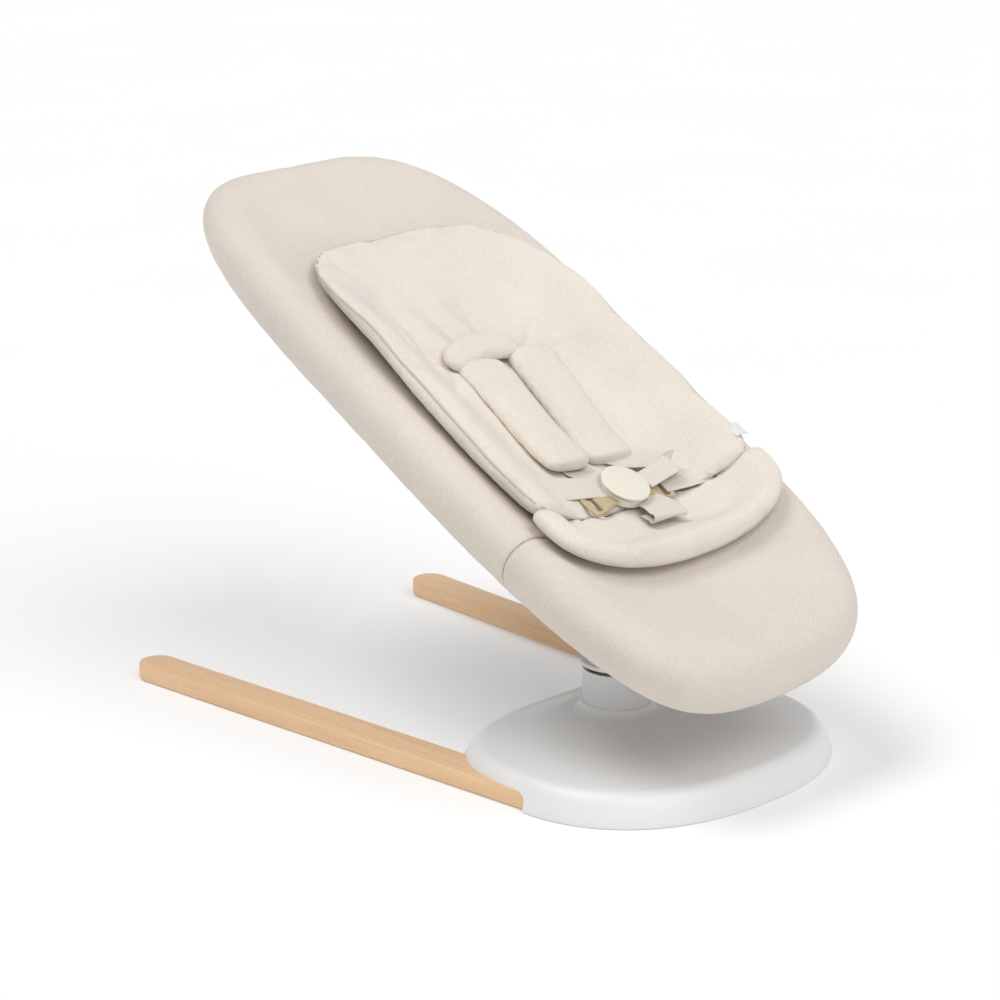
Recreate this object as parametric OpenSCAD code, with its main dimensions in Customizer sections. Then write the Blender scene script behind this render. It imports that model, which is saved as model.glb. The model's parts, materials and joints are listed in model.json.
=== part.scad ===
// Baby bouncer: a padded, dished lounger on a sprung neck, over a weighted base with two beech legs.
// Frame: +Z up, +Y towards the head end, +X towards the child's left. Origin on the floor, mid-box.

/* [Seat] */
// Length of the seat pad along its centre line
seat_len = 852; // [800:1:880]
// Half of the seat pad's width
seat_half_w = 200; // [185:1:210]
// Radius of the seat pad's rounded edge, half of its thickness
edge_r = 37; // [34:0.5:38]
// How much higher the long edges lie than the centre line
dish = 39; // [30:1:42]
// How far the dish is filled in at the head end's tip
head_lift = 5; // [0:1:20]
// Slope of the foot part above the horizontal
foot_tilt = 24.9; // [23:0.1:26]
// Slope of the back part above the horizontal
back_tilt = 29.1; // [28:0.1:31]
// Distance along the centre line where the slope starts to grow
bend_start = 127; // [110:1:140]
// Distance along the centre line where the slope stops growing
bend_end = 360; // [340:1:380]
// Distance along the centre line of the seam between the two cover parts
seam_s = 228; // [220:1:236]
// Place of the foot tip's middle surface along Y
seat_y = -376; // [-380:0.5:-374]
// Height of the foot tip's middle surface
seat_z = 124.5; // [122:0.5:130]

/* [Base] */
// Half of the base's width
base_half_w = 198; // [190:1:200]
// Half of the base's length
base_half_l = 162; // [155:1:165]
// Place of the base's middle along Y
base_y = -205; // [-208:1:-204]
// Height of the base's rim
rim_h = 32; // [31:0.5:34]
// Height of the base cover where it meets the neck
dome_h = 45; // [42:0.5:48]

/* [Legs] */
// Width of a leg
leg_w = 42; // [38:1:44]
// Height of a leg's plank
leg_h = 18; // [16:0.5:19]
// Thickness of the pads under a leg
leg_pad_h = 1.5; // [1:0.5:2]
// Angle by which each leg spreads towards the rear
leg_splay = 3.6; // [3:0.1:4]
// Place of a leg's front end along Y
leg_front_y = -213; // [-218:1:-210]
// Place of the centre of a leg's round rear end along Y
leg_rear_y = 348; // [330:1:350]
// Distance from the middle to a leg's outer side at its front end
leg_front_x = 193; // [190:0.5:194]

/* [Neck] */
// Radius of the neck sleeve
neck_r = 36; // [35:0.5:38]
// Height of the neck sleeve's top
neck_top_z = 91; // [88:1:92]
// Height of the bounce axle
bounce_z = 78; // [76:1:80]
// Radius of the bounce and recline axles
axle_r = 5; // [4:0.5:6]

/* [Harness] */
// Width of the shoulder and waist webbing
web_w = 25; // [20:1:30]
// Thickness of the webbing
web_t = 1.6; // [1.2:0.1:2]
// Radius of the buckle's button cap
buckle_r = 27; // [24:0.5:28]
// Travel of the buckle's release button
button_travel = 2.5; // [2:0.5:3]

/* [Hidden] */

ring_n = 44;                      // points round a lofted ring
flat_ks = [0.07, 0.2, 0.35, 0.5, 0.66, 0.83]; // rings on the seat's flat, as shares of its plan
axle_flush = 3;                   // how far the bounce axle stands out of its fork
screw_pass_r = 2.6;               // holes of the pan for the cover's screws
foot_power = 3.84;                // squareness of the seat's plan at the foot end
head_power = 3.43;                // squareness of the seat's plan at the head end
base_front_power = 2.3;           // squareness of the base's plan at the front
base_rear_power = 2.8;            // squareness of the base's plan at the rear
cover_t = 2.5;                    // thickness of the fabric cover
gap = 0.8;                        // clearance between the seat's layers
shell_t = 3;                      // wall of the moulded seat shell
deck_drop = 10;                   // how far the deck's flat lies under a full round
hem_k = 0.72;                     // where the cover's hem lies under the seat, as a share of its flat
leg_z0 = leg_pad_h;
leg_top = leg_z0 + leg_h;
plate_z0 = leg_top + 0.5;         // underside of the ballast plate, over the legs
plate_t = 4.5;
plate_z1 = plate_z0 + plate_t;
slot_gap = 0.3;                   // smallest clearance between two pieces
pan_z0 = 1.5;
pan_t = 2.5;
wall = 2.5;                       // wall of the base cover and the neck sleeve
hub_s = 209;                      // where the hub is fixed, along the seat's centre line
hinge_n = -75;                    // recline axis below the seat's middle surface
run = 0.05;                       // radial clearance of a running fit
lug_half = 19;                    // half width of the carrier's lugs
ear_t = 6;                        // thickness of the hub's ears and the neck's fork
disc_t = 1.5;                     // thickness of a friction disc
ear_x = lug_half + disc_t + 0.2;  // inner side of the hub's ears
boss_r = 12;                      // radius round each axle
pad_base = edge_r + 1.2;          // underside of what lies on the cover

// ---- the seat's middle surface ----
bend_r = (bend_end - bend_start) / (back_tilt - foot_tilt) * 180 / PI;
function tilt_at(s) =
    s < bend_start ? foot_tilt
    : s < bend_end ? foot_tilt + (s - bend_start) / bend_r * 180 / PI
    : back_tilt;
function arc_s(s) = min(max(s, bend_start), bend_end);
function curve_y(s) =
    min(s, bend_start) * cos(foot_tilt)
    + bend_r * (sin(tilt_at(arc_s(s))) - sin(foot_tilt))
    + max(s - bend_end, 0) * cos(back_tilt);
function curve_z(s) =
    min(s, bend_start) * sin(foot_tilt)
    - bend_r * (cos(tilt_at(arc_s(s))) - cos(foot_tilt))
    + max(s - bend_end, 0) * sin(back_tilt);
lift_len = 210;                   // length over which the dish fills in at the head end
function smooth(t) = let (u = min(max(t, 0), 1)) u * u * (3 - 2 * u);
function dish_at(x, s) =
    let (q = pow(x / seat_half_w, 2))
    dish * q + head_lift * smooth((s - seat_len + lift_len) / lift_len) * (1 - q);
// A point x to the side, s along the centre line and n above the middle surface
function on_seat(x, s, n) =
    let (a = tilt_at(s), h = n + dish_at(x, s))
    [x, seat_y + curve_y(s) - h * sin(a), seat_z + curve_z(s) + h * cos(a)];
module at_seat(x, s, n) {
    translate(on_seat(x, s, n))
        rotate([tilt_at(s), 0, 0])
            rotate([0, -atan(2 * dish * x / pow(seat_half_w, 2)), 0])
                children();
}

hinge = on_seat(0, hub_s, hinge_n);
neck_y = hinge[1];
hinge_z = hinge[2];

// ---- lofting ----
function power(c, p) = sign(c) * pow(abs(c), 2 / p);
function mean(ring) = [for (k = [0:2]) [for (p = ring) p[k]] * [for (p = ring) 1] / len(ring)];
function side_faces(rows, n, closed) =
    [for (i = [0:rows - (closed ? 1 : 2)], j = [0:n - 1])
        let (a = i * n + j, b = i * n + (j + 1) % n, c = ((i + 1) % rows) * n + j,
             d = ((i + 1) % rows) * n + (j + 1) % n)
        each [[a, b, d], [a, d, c]]];
// Rings of equal length, joined in order; both ends are closed with a fan
module loft(rings) {
    n = len(rings[0]);
    rows = len(rings);
    last = (rows - 1) * n;
    points = concat([for (r = rings) each r], [mean(rings[0]), mean(rings[rows - 1])]);
    fans = [for (j = [0:n - 1])
        each [[rows * n, (j + 1) % n, j], [rows * n + 1, last + j, last + (j + 1) % n]]];
    polyhedron(points, concat(side_faces(rows, n, false), fans));
}
// The same, for rings made of a lower row and an upper row: each end is a strip between its two rows
module loft_sections(rings) {
    n = len(rings[0]);
    rows = len(rings);
    last = (rows - 1) * n;
    strips = [for (j = [0:n / 2 - 2])
        let (a = j, b = j + 1, c = n - 2 - j, d = n - 1 - j)
        each [[b, a, d], [b, d, c], [last + a, last + b, last + d], [last + b, last + c, last + d]]];
    polyhedron([for (r = rings) each r], concat(side_faces(rows, n, false), strips));
}
// Rings whose last joins the first, for a shell with a hole through it
module loft_loop(rings) {
    n = len(rings[0]);
    polyhedron([for (r = rings) each r], side_faces(len(rings), n, true));
}

// A ring of the seat's plan, drawn in by inset and scaled by k, at height n
function seat_ring(inset, n, k = 1) =
    [for (i = [0:ring_n - 1])
        let (t = 360 * i / ring_n, c = cos(t), p = c > 0 ? head_power : foot_power)
        on_seat((seat_half_w - inset) * k * power(sin(t), p),
                seat_len / 2 + (seat_len / 2 - inset) * k * power(c, p), n)];
// A ring on a rounded edge of radius r that is drop lower at its flat
function edge_ring(r, drop, phi) =
    let (rho = r - (phi > 0 ? drop * pow(sin(phi), 2) : 0))
    seat_ring(edge_r - rho * cos(phi), rho * sin(phi));
function top_rings(r, drop) = [for (k = flat_ks) seat_ring(edge_r, r - drop, k)];
function round_rings(r, drop, from, to, steps) =
    [for (i = [0:steps]) edge_ring(r, drop, from + (to - from) * i / steps)];
function reversed(rows) = [for (i = [len(rows) - 1:-1:0]) rows[i]];
// A skin over the top, round the edge and down to phi
module seat_skin(outer, inner, outer_drop, inner_drop, phi, steps) {
    loft(concat(
        top_rings(outer, outer_drop), round_rings(outer, outer_drop, 90, phi, steps),
        reversed(round_rings(inner, inner_drop, 90, phi, steps)),
        reversed(top_rings(inner, inner_drop))));
}

// ---- base ----
function base_ring(inset, z, k = 1) =
    [for (i = [0:ring_n - 1])
        let (t = 360 * i / ring_n, c = cos(t), p = c > 0 ? base_rear_power : base_front_power)
        [(base_half_w - inset) * power(sin(t), p) * k,
         (base_y + (base_half_l - inset) * power(c, p)) * k + neck_y * (1 - k), z]];
function neck_ring(r, z) =
    [for (i = [0:ring_n - 1]) let (t = 360 * i / ring_n) [r * sin(t), neck_y + r * cos(t), z]];
// The cover's top runs in a soft S from the rim to the neck
function dome_ring(f, z_drop) =
    let (a = base_ring(14, 0), b = neck_ring(neck_r + slot_gap, 0), rise = dome_h - rim_h,
         z = rim_h - z_drop + rise * (f * f * (3 - 2 * f) * 0.5 + f * 0.5))
    [for (i = [0:ring_n - 1]) [a[i][0] * (1 - f) + b[i][0] * f, a[i][1] * (1 - f) + b[i][1] * f, z]];
// Place of each cover screw, and how far its boss rises above the rim into the cover's top
screw_places = [[0, -105, 1.5], [-80, -85, 2], [80, -85, 2], [-70, 110, 4.2], [70, 110, 4.2]];
screw_top = rim_h - 1;
screw_r = 2;
module base_shell() {
    loft_loop(concat(
        [base_ring(0.6, pan_z0), base_ring(0, 4), base_ring(5, 20), base_ring(7.5, rim_h - 3),
         base_ring(10.5, rim_h - 0.6)],
        [for (f = [0, 0.18, 0.4, 0.62, 0.82, 1]) dome_ring(f, 0)],
        [for (f = [1, 0.82, 0.62, 0.4, 0.18, 0]) dome_ring(f, wall)],
        [base_ring(10.5, rim_h - wall - 2), base_ring(8, 20), base_ring(wall + 0.5, 4),
         base_ring(wall, pan_z0)]));
}
module base_cover() color("white") difference() {
    union() {
        base_shell();
        for (p = screw_places)
            translate([p[0], base_y + p[1], plate_z1]) cylinder(r = 5, h = rim_h + p[2] - plate_z1, $fn = 32);
    }
    leg_slots();
    each_place(screw_places, base_y)
        translate([0, 0, plate_z1 - 1]) cylinder(r = screw_r, h = screw_top - plate_z1 + 1, $fn = 32);
}
module base_outline(inset) {
    polygon([for (p = base_ring(inset, 0)) [p[0], p[1]]]);
}
foot_places = [[0, -128], [-105, -80], [105, -80], [-95, 92], [95, 92]];
module each_place(places, y) {
    for (p = places) translate([p[0], y + p[1], 0]) children();
}
module base_pan() color("dimgray") difference() {
    translate([0, 0, pan_z0]) linear_extrude(pan_t) base_outline(wall + 1);
    leg_slots();
    each_place(screw_places, base_y) translate([0, 0, pan_z0 - 1]) cylinder(r = screw_pass_r, h = pan_t + 2, $fn = 32);
}
module plate_hole(r) {
    translate([0, 0, plate_z0 - 1]) cylinder(r = r, h = plate_t + 2, $fn = 32);
}
module ballast_plate() color("slategray") difference() {
    translate([0, 0, plate_z0]) linear_extrude(plate_t) base_outline(20);
    each_place(screw_places, base_y) plate_hole(screw_r + 0.1);
    each_place(bolt_places, neck_y) plate_hole(bolt_r + 0.2);
    leg_screw_places() plate_hole(leg_screw_r + 0.2);
}
module base_feet() color("black") each_place(foot_places, base_y) {
    cylinder(r = 12, h = pan_z0, $fn = 48);
}
module base_screws() color("silver") each_place(screw_places, base_y) {
    translate([0, 0, pan_z0 - 1]) cylinder(r = 4.5, h = 1, $fn = 32);
    translate([0, 0, pan_z0 - 0.2]) cylinder(r = screw_r, h = screw_top - pan_z0, $fn = 32);
}

// ---- legs ----
leg_len = (leg_rear_y - leg_front_y) / cos(leg_splay);
nose_r = 12;                      // rounding of the top edge at a leg's front end
// A leg's own frame: y runs along it from its front end, and x = 0 is its outer side
module leg_frame(side) {
    mirror([side < 0 ? 1 : 0, 0, 0])
        translate([leg_front_x, leg_front_y, 0]) rotate([0, 0, -leg_splay]) children();
}
// The side view, from the front end to length, with that end's top edge rounded
module leg_side_view(length, height) {
    difference() {
        square([length, height]);
        difference() {
            translate([-1, height - nose_r]) square([nose_r + 1, nose_r + 1]);
            translate([nose_r, height - nose_r]) circle(r = nose_r, $fn = 64);
        }
    }
}
module leg_solid(side) leg_frame(side) intersection() {
    translate([0, 0, leg_z0]) linear_extrude(leg_h) union() {
        translate([-leg_w, 0]) square([leg_w, leg_len]);
        translate([-leg_w / 2, leg_len]) circle(r = leg_w / 2, $fn = 64);
    }
    translate([-leg_w, 0, leg_z0]) rotate([90, 0, 90])
        linear_extrude(leg_w) leg_side_view(leg_len + leg_w, leg_h);
}
module leg_slots() {
    for (side = [-1, 1]) leg_frame(side)
        translate([-leg_w - slot_gap, -slot_gap, -1]) rotate([90, 0, 90])
            linear_extrude(leg_w * 2) leg_side_view(leg_len, leg_top + slot_gap + 1);
}
module leg_left() color("burlywood") leg_solid(1);
module leg_right() color("burlywood") leg_solid(-1);
module leg_pads() color("gray") {
    for (side = [-1, 1], y = [leg_len * 0.45, leg_len - 8])
        leg_frame(side) translate([-leg_w / 2, y, 0]) cylinder(r = 11, h = leg_pad_h, $fn = 48);
}
leg_screw_ys = [40, 75];          // places of the screws along a leg
leg_screw_inset = 30;             // from the leg's outer side
leg_screw_r = 3;
module leg_screw_places() {
    for (side = [-1, 1], y = leg_screw_ys)
        leg_frame(side) translate([-leg_screw_inset, y, 0]) children();
}
module leg_screws() color("silver") leg_screw_places() {
    translate([0, 0, plate_z1]) cylinder(r = 5, h = 2, $fn = 32);
    translate([0, 0, leg_top - 12]) cylinder(r = leg_screw_r, h = plate_z1 - leg_top + 12.5, $fn = 32);
}

// ---- neck ----
bolt_places = [[-38, -20], [38, -20], [-38, 20], [38, 20]];
bolt_r = 4;
flange_t = 5;
column_r = 22;
fork_x = lug_half + 0.7;          // inner side of the fork that holds the bounce axle
spring_y = 20.5;                  // how far each bounce spring stands from the axle
spring_seat_z = 58;
module at_neck(z) {
    translate([0, neck_y, z]) children();
}
module x_cylinder(r, half) {
    rotate([0, 90, 0]) translate([0, 0, -half]) cylinder(r = r, h = 2 * half, $fn = 48);
}
// A plate across X with a round top, from z0 up to the axle, and its bore
module ear(x, z0, y_half, axle_z, bore) {
    at_neck(0) difference() {
        translate([x, 0, 0]) rotate([90, 0, 90]) linear_extrude(ear_t) union() {
            translate([-y_half, z0]) square([2 * y_half, axle_z - z0]);
            translate([0, axle_z]) circle(r = y_half, $fn = 64);
        }
        translate([0, 0, axle_z]) x_cylinder(bore, 60);
    }
}
module neck_column() color("gray") union() {
    difference() {
        at_neck(plate_z1) union() {
            translate([-48, -30, 0]) cube([96, 60, flange_t]);
            cylinder(r = column_r + 8, h = spring_seat_z - plate_z1, $fn = 64);
        }
        each_place(bolt_places, neck_y)
            translate([0, 0, plate_z1 - 1]) cylinder(r = bolt_r + 0.2, h = flange_t + 2, $fn = 32);
        at_neck(plate_z1 - 1) cylinder(r = column_r - 4, h = spring_seat_z - plate_z1 - 5, $fn = 64);
    }
    for (x = [fork_x, -fork_x - ear_t]) ear(x, spring_seat_z - 1, boss_r, bounce_z, axle_r);
}
module column_bolts() color("silver") each_place(bolt_places, neck_y) {
    translate([0, 0, plate_z0 - 4]) cylinder(r = bolt_r, h = plate_t + flange_t + 4.2, $fn = 32);
    translate([0, 0, plate_z0 - 4]) cylinder(r = 6.5, h = 4, $fn = 6);
    translate([0, 0, plate_z1 + flange_t]) cylinder(r = 6.5, h = 3.5, $fn = 48);
}
foot_r = 3;                       // small flare where the sleeve meets the base cover
module neck_sleeve() color("whitesmoke") at_neck(0) rotate_extrude($fn = 96) difference() {
    union() {
        translate([neck_r - wall, dome_h - 4]) square([wall, neck_top_z - dome_h + 4]);
        translate([neck_r - 1, dome_h + slot_gap]) square([foot_r + 1, foot_r]);
    }
    translate([neck_r + foot_r, dome_h + slot_gap + foot_r]) circle(r = foot_r, $fn = 64);
}
module bounce_axle() color("silver") at_neck(bounce_z) x_cylinder(axle_r, fork_x + ear_t + axle_flush);
module axle_clips() color("dimgray") at_neck(bounce_z) {
    for (x = [-1, 1]) translate([x * (fork_x + ear_t + 1.6), 0, 0]) difference() {
        x_cylinder(axle_r + 3.5, 0.6);
        x_cylinder(axle_r, 2);
    }
}
spring_r = 6;                     // mean radius of a bounce spring's coil
wire_r = 1.2;
spring_turns = 4;
spring_gap = 0.3;
wing_z = 89;                      // underside of the carrier's plate, where the springs end
function helix_ring(f, z0, h) =
    let (a = 360 * spring_turns * f, z = z0 + wire_r + (h - 2 * wire_r) * f)
    [for (b = [0:60:300])
        let (rho = spring_r + wire_r * cos(b)) [rho * cos(a), rho * sin(a), z + wire_r * sin(b)]];
module bounce_springs() color("silver") for (y = [-1, 1]) at_neck(0) translate([0, y * spring_y, 0]) {
    steps = spring_turns * 14;
    loft([for (i = [0:steps])
        helix_ring(i / steps, spring_seat_z + spring_gap, wing_z - spring_seat_z - 2 * spring_gap)]);
}

// ---- carrier ----
carrier_plate_z = 96;
carrier_plate_t = 4;
module carrier() color("gainsboro") difference() {
    at_neck(0) union() {
        // lower lug round the bounce axle
        translate([-lug_half, -7.5, bounce_z]) cube([2 * lug_half, 15, carrier_plate_z - bounce_z + 1]);
        translate([0, 0, bounce_z]) x_cylinder(boss_r - 1, lug_half);
        // the plate that covers the neck's mouth
        translate([0, 0, carrier_plate_z]) cylinder(r = neck_r + 2.5, h = carrier_plate_t, $fn = 96);
        // the seats that press on the springs
        for (y = [-1, 1]) translate([0, y * spring_y, wing_z])
            cylinder(r = spring_r + 2, h = carrier_plate_z - wing_z + 1, $fn = 48);
        // upper lug round the recline axle
        translate([-lug_half, -boss_r, carrier_plate_z + 1])
            cube([2 * lug_half, 2 * boss_r, hinge_z - carrier_plate_z - 1]);
        translate([0, 0, hinge_z]) x_cylinder(boss_r, lug_half);
    }
    at_neck(bounce_z) x_cylinder(axle_r + 2, lug_half + 1);
    at_neck(hinge_z) x_cylinder(axle_r, lug_half + 1);
}
module bounce_bushes() color("ivory") at_neck(bounce_z) {
    for (x = [-1, 1]) translate([x * (lug_half / 2 + 0.5), 0, 0]) difference() {
        x_cylinder(axle_r + 2, lug_half / 2 - 0.5);
        x_cylinder(axle_r + run, lug_half);
    }
}
lever_x = ear_x + ear_t + 1;      // inner side of the recline lever
lever_t = 9;
axle_end = lever_x + lever_t + 6;
axle_head_x = -(ear_x + ear_t + 0.5);
module recline_axle() color("silver") at_neck(hinge_z) rotate([0, 90, 0]) {
    translate([0, 0, axle_head_x]) cylinder(r = axle_r, h = axle_end - axle_head_x, $fn = 48);
    translate([0, 0, axle_head_x - 4]) cylinder(r = axle_r + 3, h = 4, $fn = 48);
}
module axle_nut() color("silver") at_neck(hinge_z) rotate([0, 90, 0]) {
    translate([0, 0, lever_x + lever_t + 0.5]) difference() {
        cylinder(r = axle_r + 4, h = 5, $fn = 6);
        translate([0, 0, -1]) cylinder(r = axle_r, h = 7, $fn = 48);
    }
}
module friction_discs() color("peru") at_neck(hinge_z) {
    for (x = [-1, 1]) translate([x * (lug_half + disc_t / 2), 0, 0]) difference() {
        x_cylinder(boss_r - 1, disc_t / 2);
        x_cylinder(axle_r, disc_t);
    }
}

// ---- hub, under the seat ----
module at_hub() {
    at_seat(0, hub_s, 0) children();
}
bracket_top = -(edge_r - cover_t - gap) - 0.2;
bracket_t = 6;
bracket_half_x = 42;
bracket_half_y = 46;
hub_screw_places = [[-33, -36], [33, -36], [-33, 36], [33, 36]];
module hub_bracket() color("gray") at_hub() difference() {
    union() {
        translate([-bracket_half_x, -bracket_half_y, bracket_top - bracket_t])
            cube([2 * bracket_half_x, 2 * bracket_half_y, bracket_t]);
        for (x = [ear_x, -ear_x - ear_t])
            translate([x, 0, 0]) rotate([90, 0, 90]) linear_extrude(ear_t) union() {
                translate([-boss_r, hinge_n]) square([2 * boss_r, bracket_top - bracket_t - hinge_n + 1]);
                translate([0, hinge_n]) circle(r = boss_r, $fn = 64);
            }
    }
    translate([0, 0, hinge_n]) x_cylinder(axle_r + run, 60);
    for (p = hub_screw_places)
        translate([p[0], p[1], bracket_top - bracket_t - 1]) cylinder(r = 3.2, h = bracket_t + 2, $fn = 32);
}
module hub_screws() color("silver") at_hub() for (p = hub_screw_places) translate([p[0], p[1], 0]) {
    translate([0, 0, bracket_top - bracket_t - 3]) cylinder(r = 5.5, h = 3, $fn = 32);
    translate([0, 0, bracket_top - bracket_t - 0.5]) cylinder(r = 3, h = bracket_t + 8, $fn = 32);
}
lever_len = 62;
module recline_lever() color("dimgray") at_hub() translate([lever_x, 0, hinge_n]) difference() {
    rotate([90, 0, 90]) union() {
        cylinder(r = boss_r, h = lever_t, $fn = 64);
        translate([0, -5, 0]) cube([lever_len, 10, lever_t]);
        translate([lever_len, 0, 0]) cylinder(r = 8, h = lever_t, $fn = 48);
    }
    x_cylinder(axle_r + run, 20);
}

// ---- seat body ----
module seat_shell() color("gainsboro") {
    r0 = edge_r - cover_t - gap;
    r1 = r0 - shell_t;
    loft(concat(
        [for (k = flat_ks) seat_ring(edge_r, -r0, k)],
        [for (i = [0:5]) edge_ring(r0, 0, -90 + 17 * i)],
        [for (i = [5:-1:0]) edge_ring(r1, 0, -90 + 17 * i)],
        [for (k = reversed(flat_ks)) seat_ring(edge_r, -r1, k)]));
}
deck_r = edge_r - cover_t - gap - shell_t - gap;
module seat_deck() color("silver") {
    seat_skin(deck_r, deck_r - shell_t + 0.5, deck_drop, deck_drop, -4, 5);
}
module seat_foam() color("lightyellow") {
    r0 = edge_r - cover_t - gap;
    seat_skin(r0, deck_r + gap, 0, deck_drop, -2, 5);
}
// The whole fabric cover, over the top, round the edge and to the hem under the seat
module cover_skin() {
    r1 = edge_r - cover_t;
    loft(concat(
        top_rings(edge_r, 0), round_rings(edge_r, 0, 90, -90, 9), [seat_ring(edge_r, -edge_r, hem_k)],
        [seat_ring(edge_r, -r1, hem_k)], round_rings(r1, 0, -90, 90, 9), reversed(top_rings(r1, 0))));
}
module past_seam(side, clear) {
    at_seat(0, seam_s, 0) translate([-500, side > 0 ? clear : -1000 - clear, -500]) cube([1000, 1000, 1000]);
}
module cover_upper() color("antiquewhite") intersection() {
    cover_skin();
    past_seam(1, 0.15);
}
module cover_lower() color("bisque") intersection() {
    cover_skin();
    past_seam(-1, 0.15);
}

// ---- what lies on the cover ----
well_t = 10;                      // thickness of the insert's thin middle
bolster_t = 25;                   // thickness of the bolster round it
bolster_in = 34;                  // width of the bolster's full height
bolster_out = 68;                 // distance from the side where the thin middle begins
insert_half_w = 164;
insert_joint = 238;               // where the insert's two parts meet
insert_head = 694;
insert_front = 151;
insert_top = pad_base + well_t + 1.2; // underside of what lies in the insert
// Thickness of the insert at distance d from its outline
function insert_t(d) =
    bolster_t - (bolster_t - well_t) * smooth((d - bolster_in) / (bolster_out - bolster_in));
// Roundness of a pad's edge: 0 at the outline, 1 on top
function crown(x) = sqrt(max(0, 1 - pow(abs(x), 8)));
row_xs = [for (i = [0:18]) -cos(10 * i)];
// A cross-section of half width w at s, whose top height over n0 is tops[i] at row_xs[i]
function row_ring(cx, w, s, n0, tops) = concat(
    [for (x = row_xs) on_seat(cx + x * w, s, n0)],
    [for (i = [len(row_xs) - 1:-1:0]) on_seat(cx + row_xs[i] * w, s, n0 + tops[i])]);
edge_t = 6;                       // height of the insert's outline
front_bow = 10;                   // how far the front bolster bows forward at its middle
seat_thinner = 1;                 // how much thinner the seat part's bolster is than the back part's
function insert_tops(w, reach, k) =
    [for (x = row_xs) edge_t + (insert_t(reach - abs(x) * w) - edge_t) * crown(x) * k];
module insert_back() color("oldlace") {
    mid = (insert_joint + insert_head) / 2;
    half = (insert_head - insert_joint) / 2 - 1;
    loft_sections([for (i = [0:22])
        let (u = -cos(180 * i / 22) * 0.998, p = u < 0 ? 9 : 3.3, k = pow(1 - pow(abs(u), p), 1 / p),
             w = insert_half_w * k)
        row_ring(0, w, mid + half * u, pad_base,
            insert_tops(w, u < 0 ? insert_half_w : w, min(1, k * 1.4)))]);
}
module insert_seat() color("oldlace") {
    half_w = insert_half_w + 3;
    len = insert_joint - insert_front;
    p = 2.7;                      // squareness of the front end's plan
    loft_sections([for (i = [14:-1:0])
        let (v = 1 - 0.998 * sin(90 * i / 14), u = 1 - v, k = pow(1 - pow(1 - v, p), 1 / p), w = half_w * k,
             from_front = len * v)
        row_ring(0, w, insert_joint - len * u, pad_base,
            [for (x = row_xs)
                let (reach = min(half_w - abs(x) * w, from_front + front_bow * x * x))
                edge_t + (insert_t(reach) - seat_thinner - edge_t) * crown(x) * min(1, k * 1.6)])]);
}
// A small stuffed pad whose middle line leans sideways by lean for each unit along the seat
module stuffed_pad(cx, w, s0, s1, n0, t, p, rows, lean = 0) {
    mid = (s0 + s1) / 2;
    half = (s1 - s0) / 2;
    edge = t * 0.3;
    loft_sections([for (i = [0:rows])
        let (u = -cos(180 * i / rows) * 0.998, k = pow(1 - pow(abs(u), p), 1 / p),
             thick = edge + (t - edge) * min(1, k * 1.3))
        row_ring(cx + lean * half * u, w * k, mid + half * u, n0,
            [for (x = row_xs) edge + (thick - edge) * sqrt(max(0, 1 - pow(abs(x), 4)))])]);
}
module yoke_pad() color("linen") stuffed_pad(-16, 60, 476, 524, insert_top, 14, 2.4, 8);
module shoulder_pad_left() color("linen") stuffed_pad(20, 25, 306, 472, insert_top, 15, 3, 12, 0.15);
module shoulder_pad_right() color("linen") stuffed_pad(-43, 27, 306, 472, insert_top, 15, 3, 12);

// ---- harness ----
// Webbing of width w along a route of [x, s, n] points
function route_way(route, i) =
    let (a = route[max(i - 1, 0)], b = route[min(i + 1, len(route) - 1)], d = [b[0] - a[0], b[1] - a[1]])
    d / norm(d);
function web_ring(route, i, w) =
    let (p = route[i], d = route_way(route, i), side = [-d[1], d[0]] * w / 2)
    [for (q = [[-1, 0], [-1, 1], [1, 1], [1, 0]])
        on_seat(p[0] + side[0] * q[0], p[1] + side[1] * q[0], p[2] + web_t * q[1])];
module webbing(a, b, w, steps = 5) {
    route = [for (i = [0:steps]) a + (b - a) * i / steps];
    color("ivory") loft([for (i = [0:steps]) web_ring(route, i, w)]);
}
buckle_x = -11;
buckle_s = 259;
body_r = 24;                      // the buckle's body, smaller than its button cap
body_t = 8;
body_floor = 2.6;
buckle_n = insert_top + 5;
cap_n = buckle_n + body_t + button_travel + 0.3;
web_n = buckle_n + 2;             // height of the webbing's ends at the buckle
module shoulder_strap_right() webbing([-36, 299, insert_top], [-30, 287, web_n], web_w * 0.7);
module shoulder_strap_left() webbing([14, 300, insert_top], [40, 285, web_n], web_w * 0.7);
module waist_strap_right() webbing([-90, 278, insert_top + 0.3], [-74, 268, web_n], web_w);
module waist_strap_left() webbing([88, 252, insert_top + 0.3], [52, 257, web_n], web_w);
module crotch_strap() webbing([6, 200, pad_base + 21], [8, 228, web_n], web_w * 1.4);
module at_buckle(n) {
    at_seat(buckle_x, buckle_s, n) children();
}
button_r = 15;                    // stem of the button, inside the body
module buckle_body() color("ivory") at_buckle(buckle_n) difference() {
    rotate_extrude($fn = 96) union() {
        square([body_r - 2, body_t]);
        square([body_r, body_t - 2]);
        translate([body_r - 2, body_t - 2]) circle(r = 2, $fn = 48);
    }
    translate([0, 0, body_floor]) cylinder(r = button_r + 0.3, h = body_t, $fn = 96);
}
cap_t = 3.2;                      // height of the cap's rounded edge
module buckle_button() color("white") at_buckle(cap_n) rotate_extrude($fn = 96) union() {
    square([buckle_r - cap_t / 2, cap_t]);
    translate([buckle_r - cap_t / 2, cap_t / 2]) circle(r = cap_t / 2, $fn = 48);
    translate([0, cap_t]) intersection() {
        square([buckle_r - cap_t / 2, 2]);
        translate([0, 2 - dome_r]) circle(r = dome_r, $fn = 256);
    }
    translate([0, -stem_h]) square([button_r, stem_h + 1]);
}
dome_r = 165;                     // radius of the cap's shallow dome
stem_h = body_t - body_floor - 0.5;
tongue_t = 3;
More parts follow.
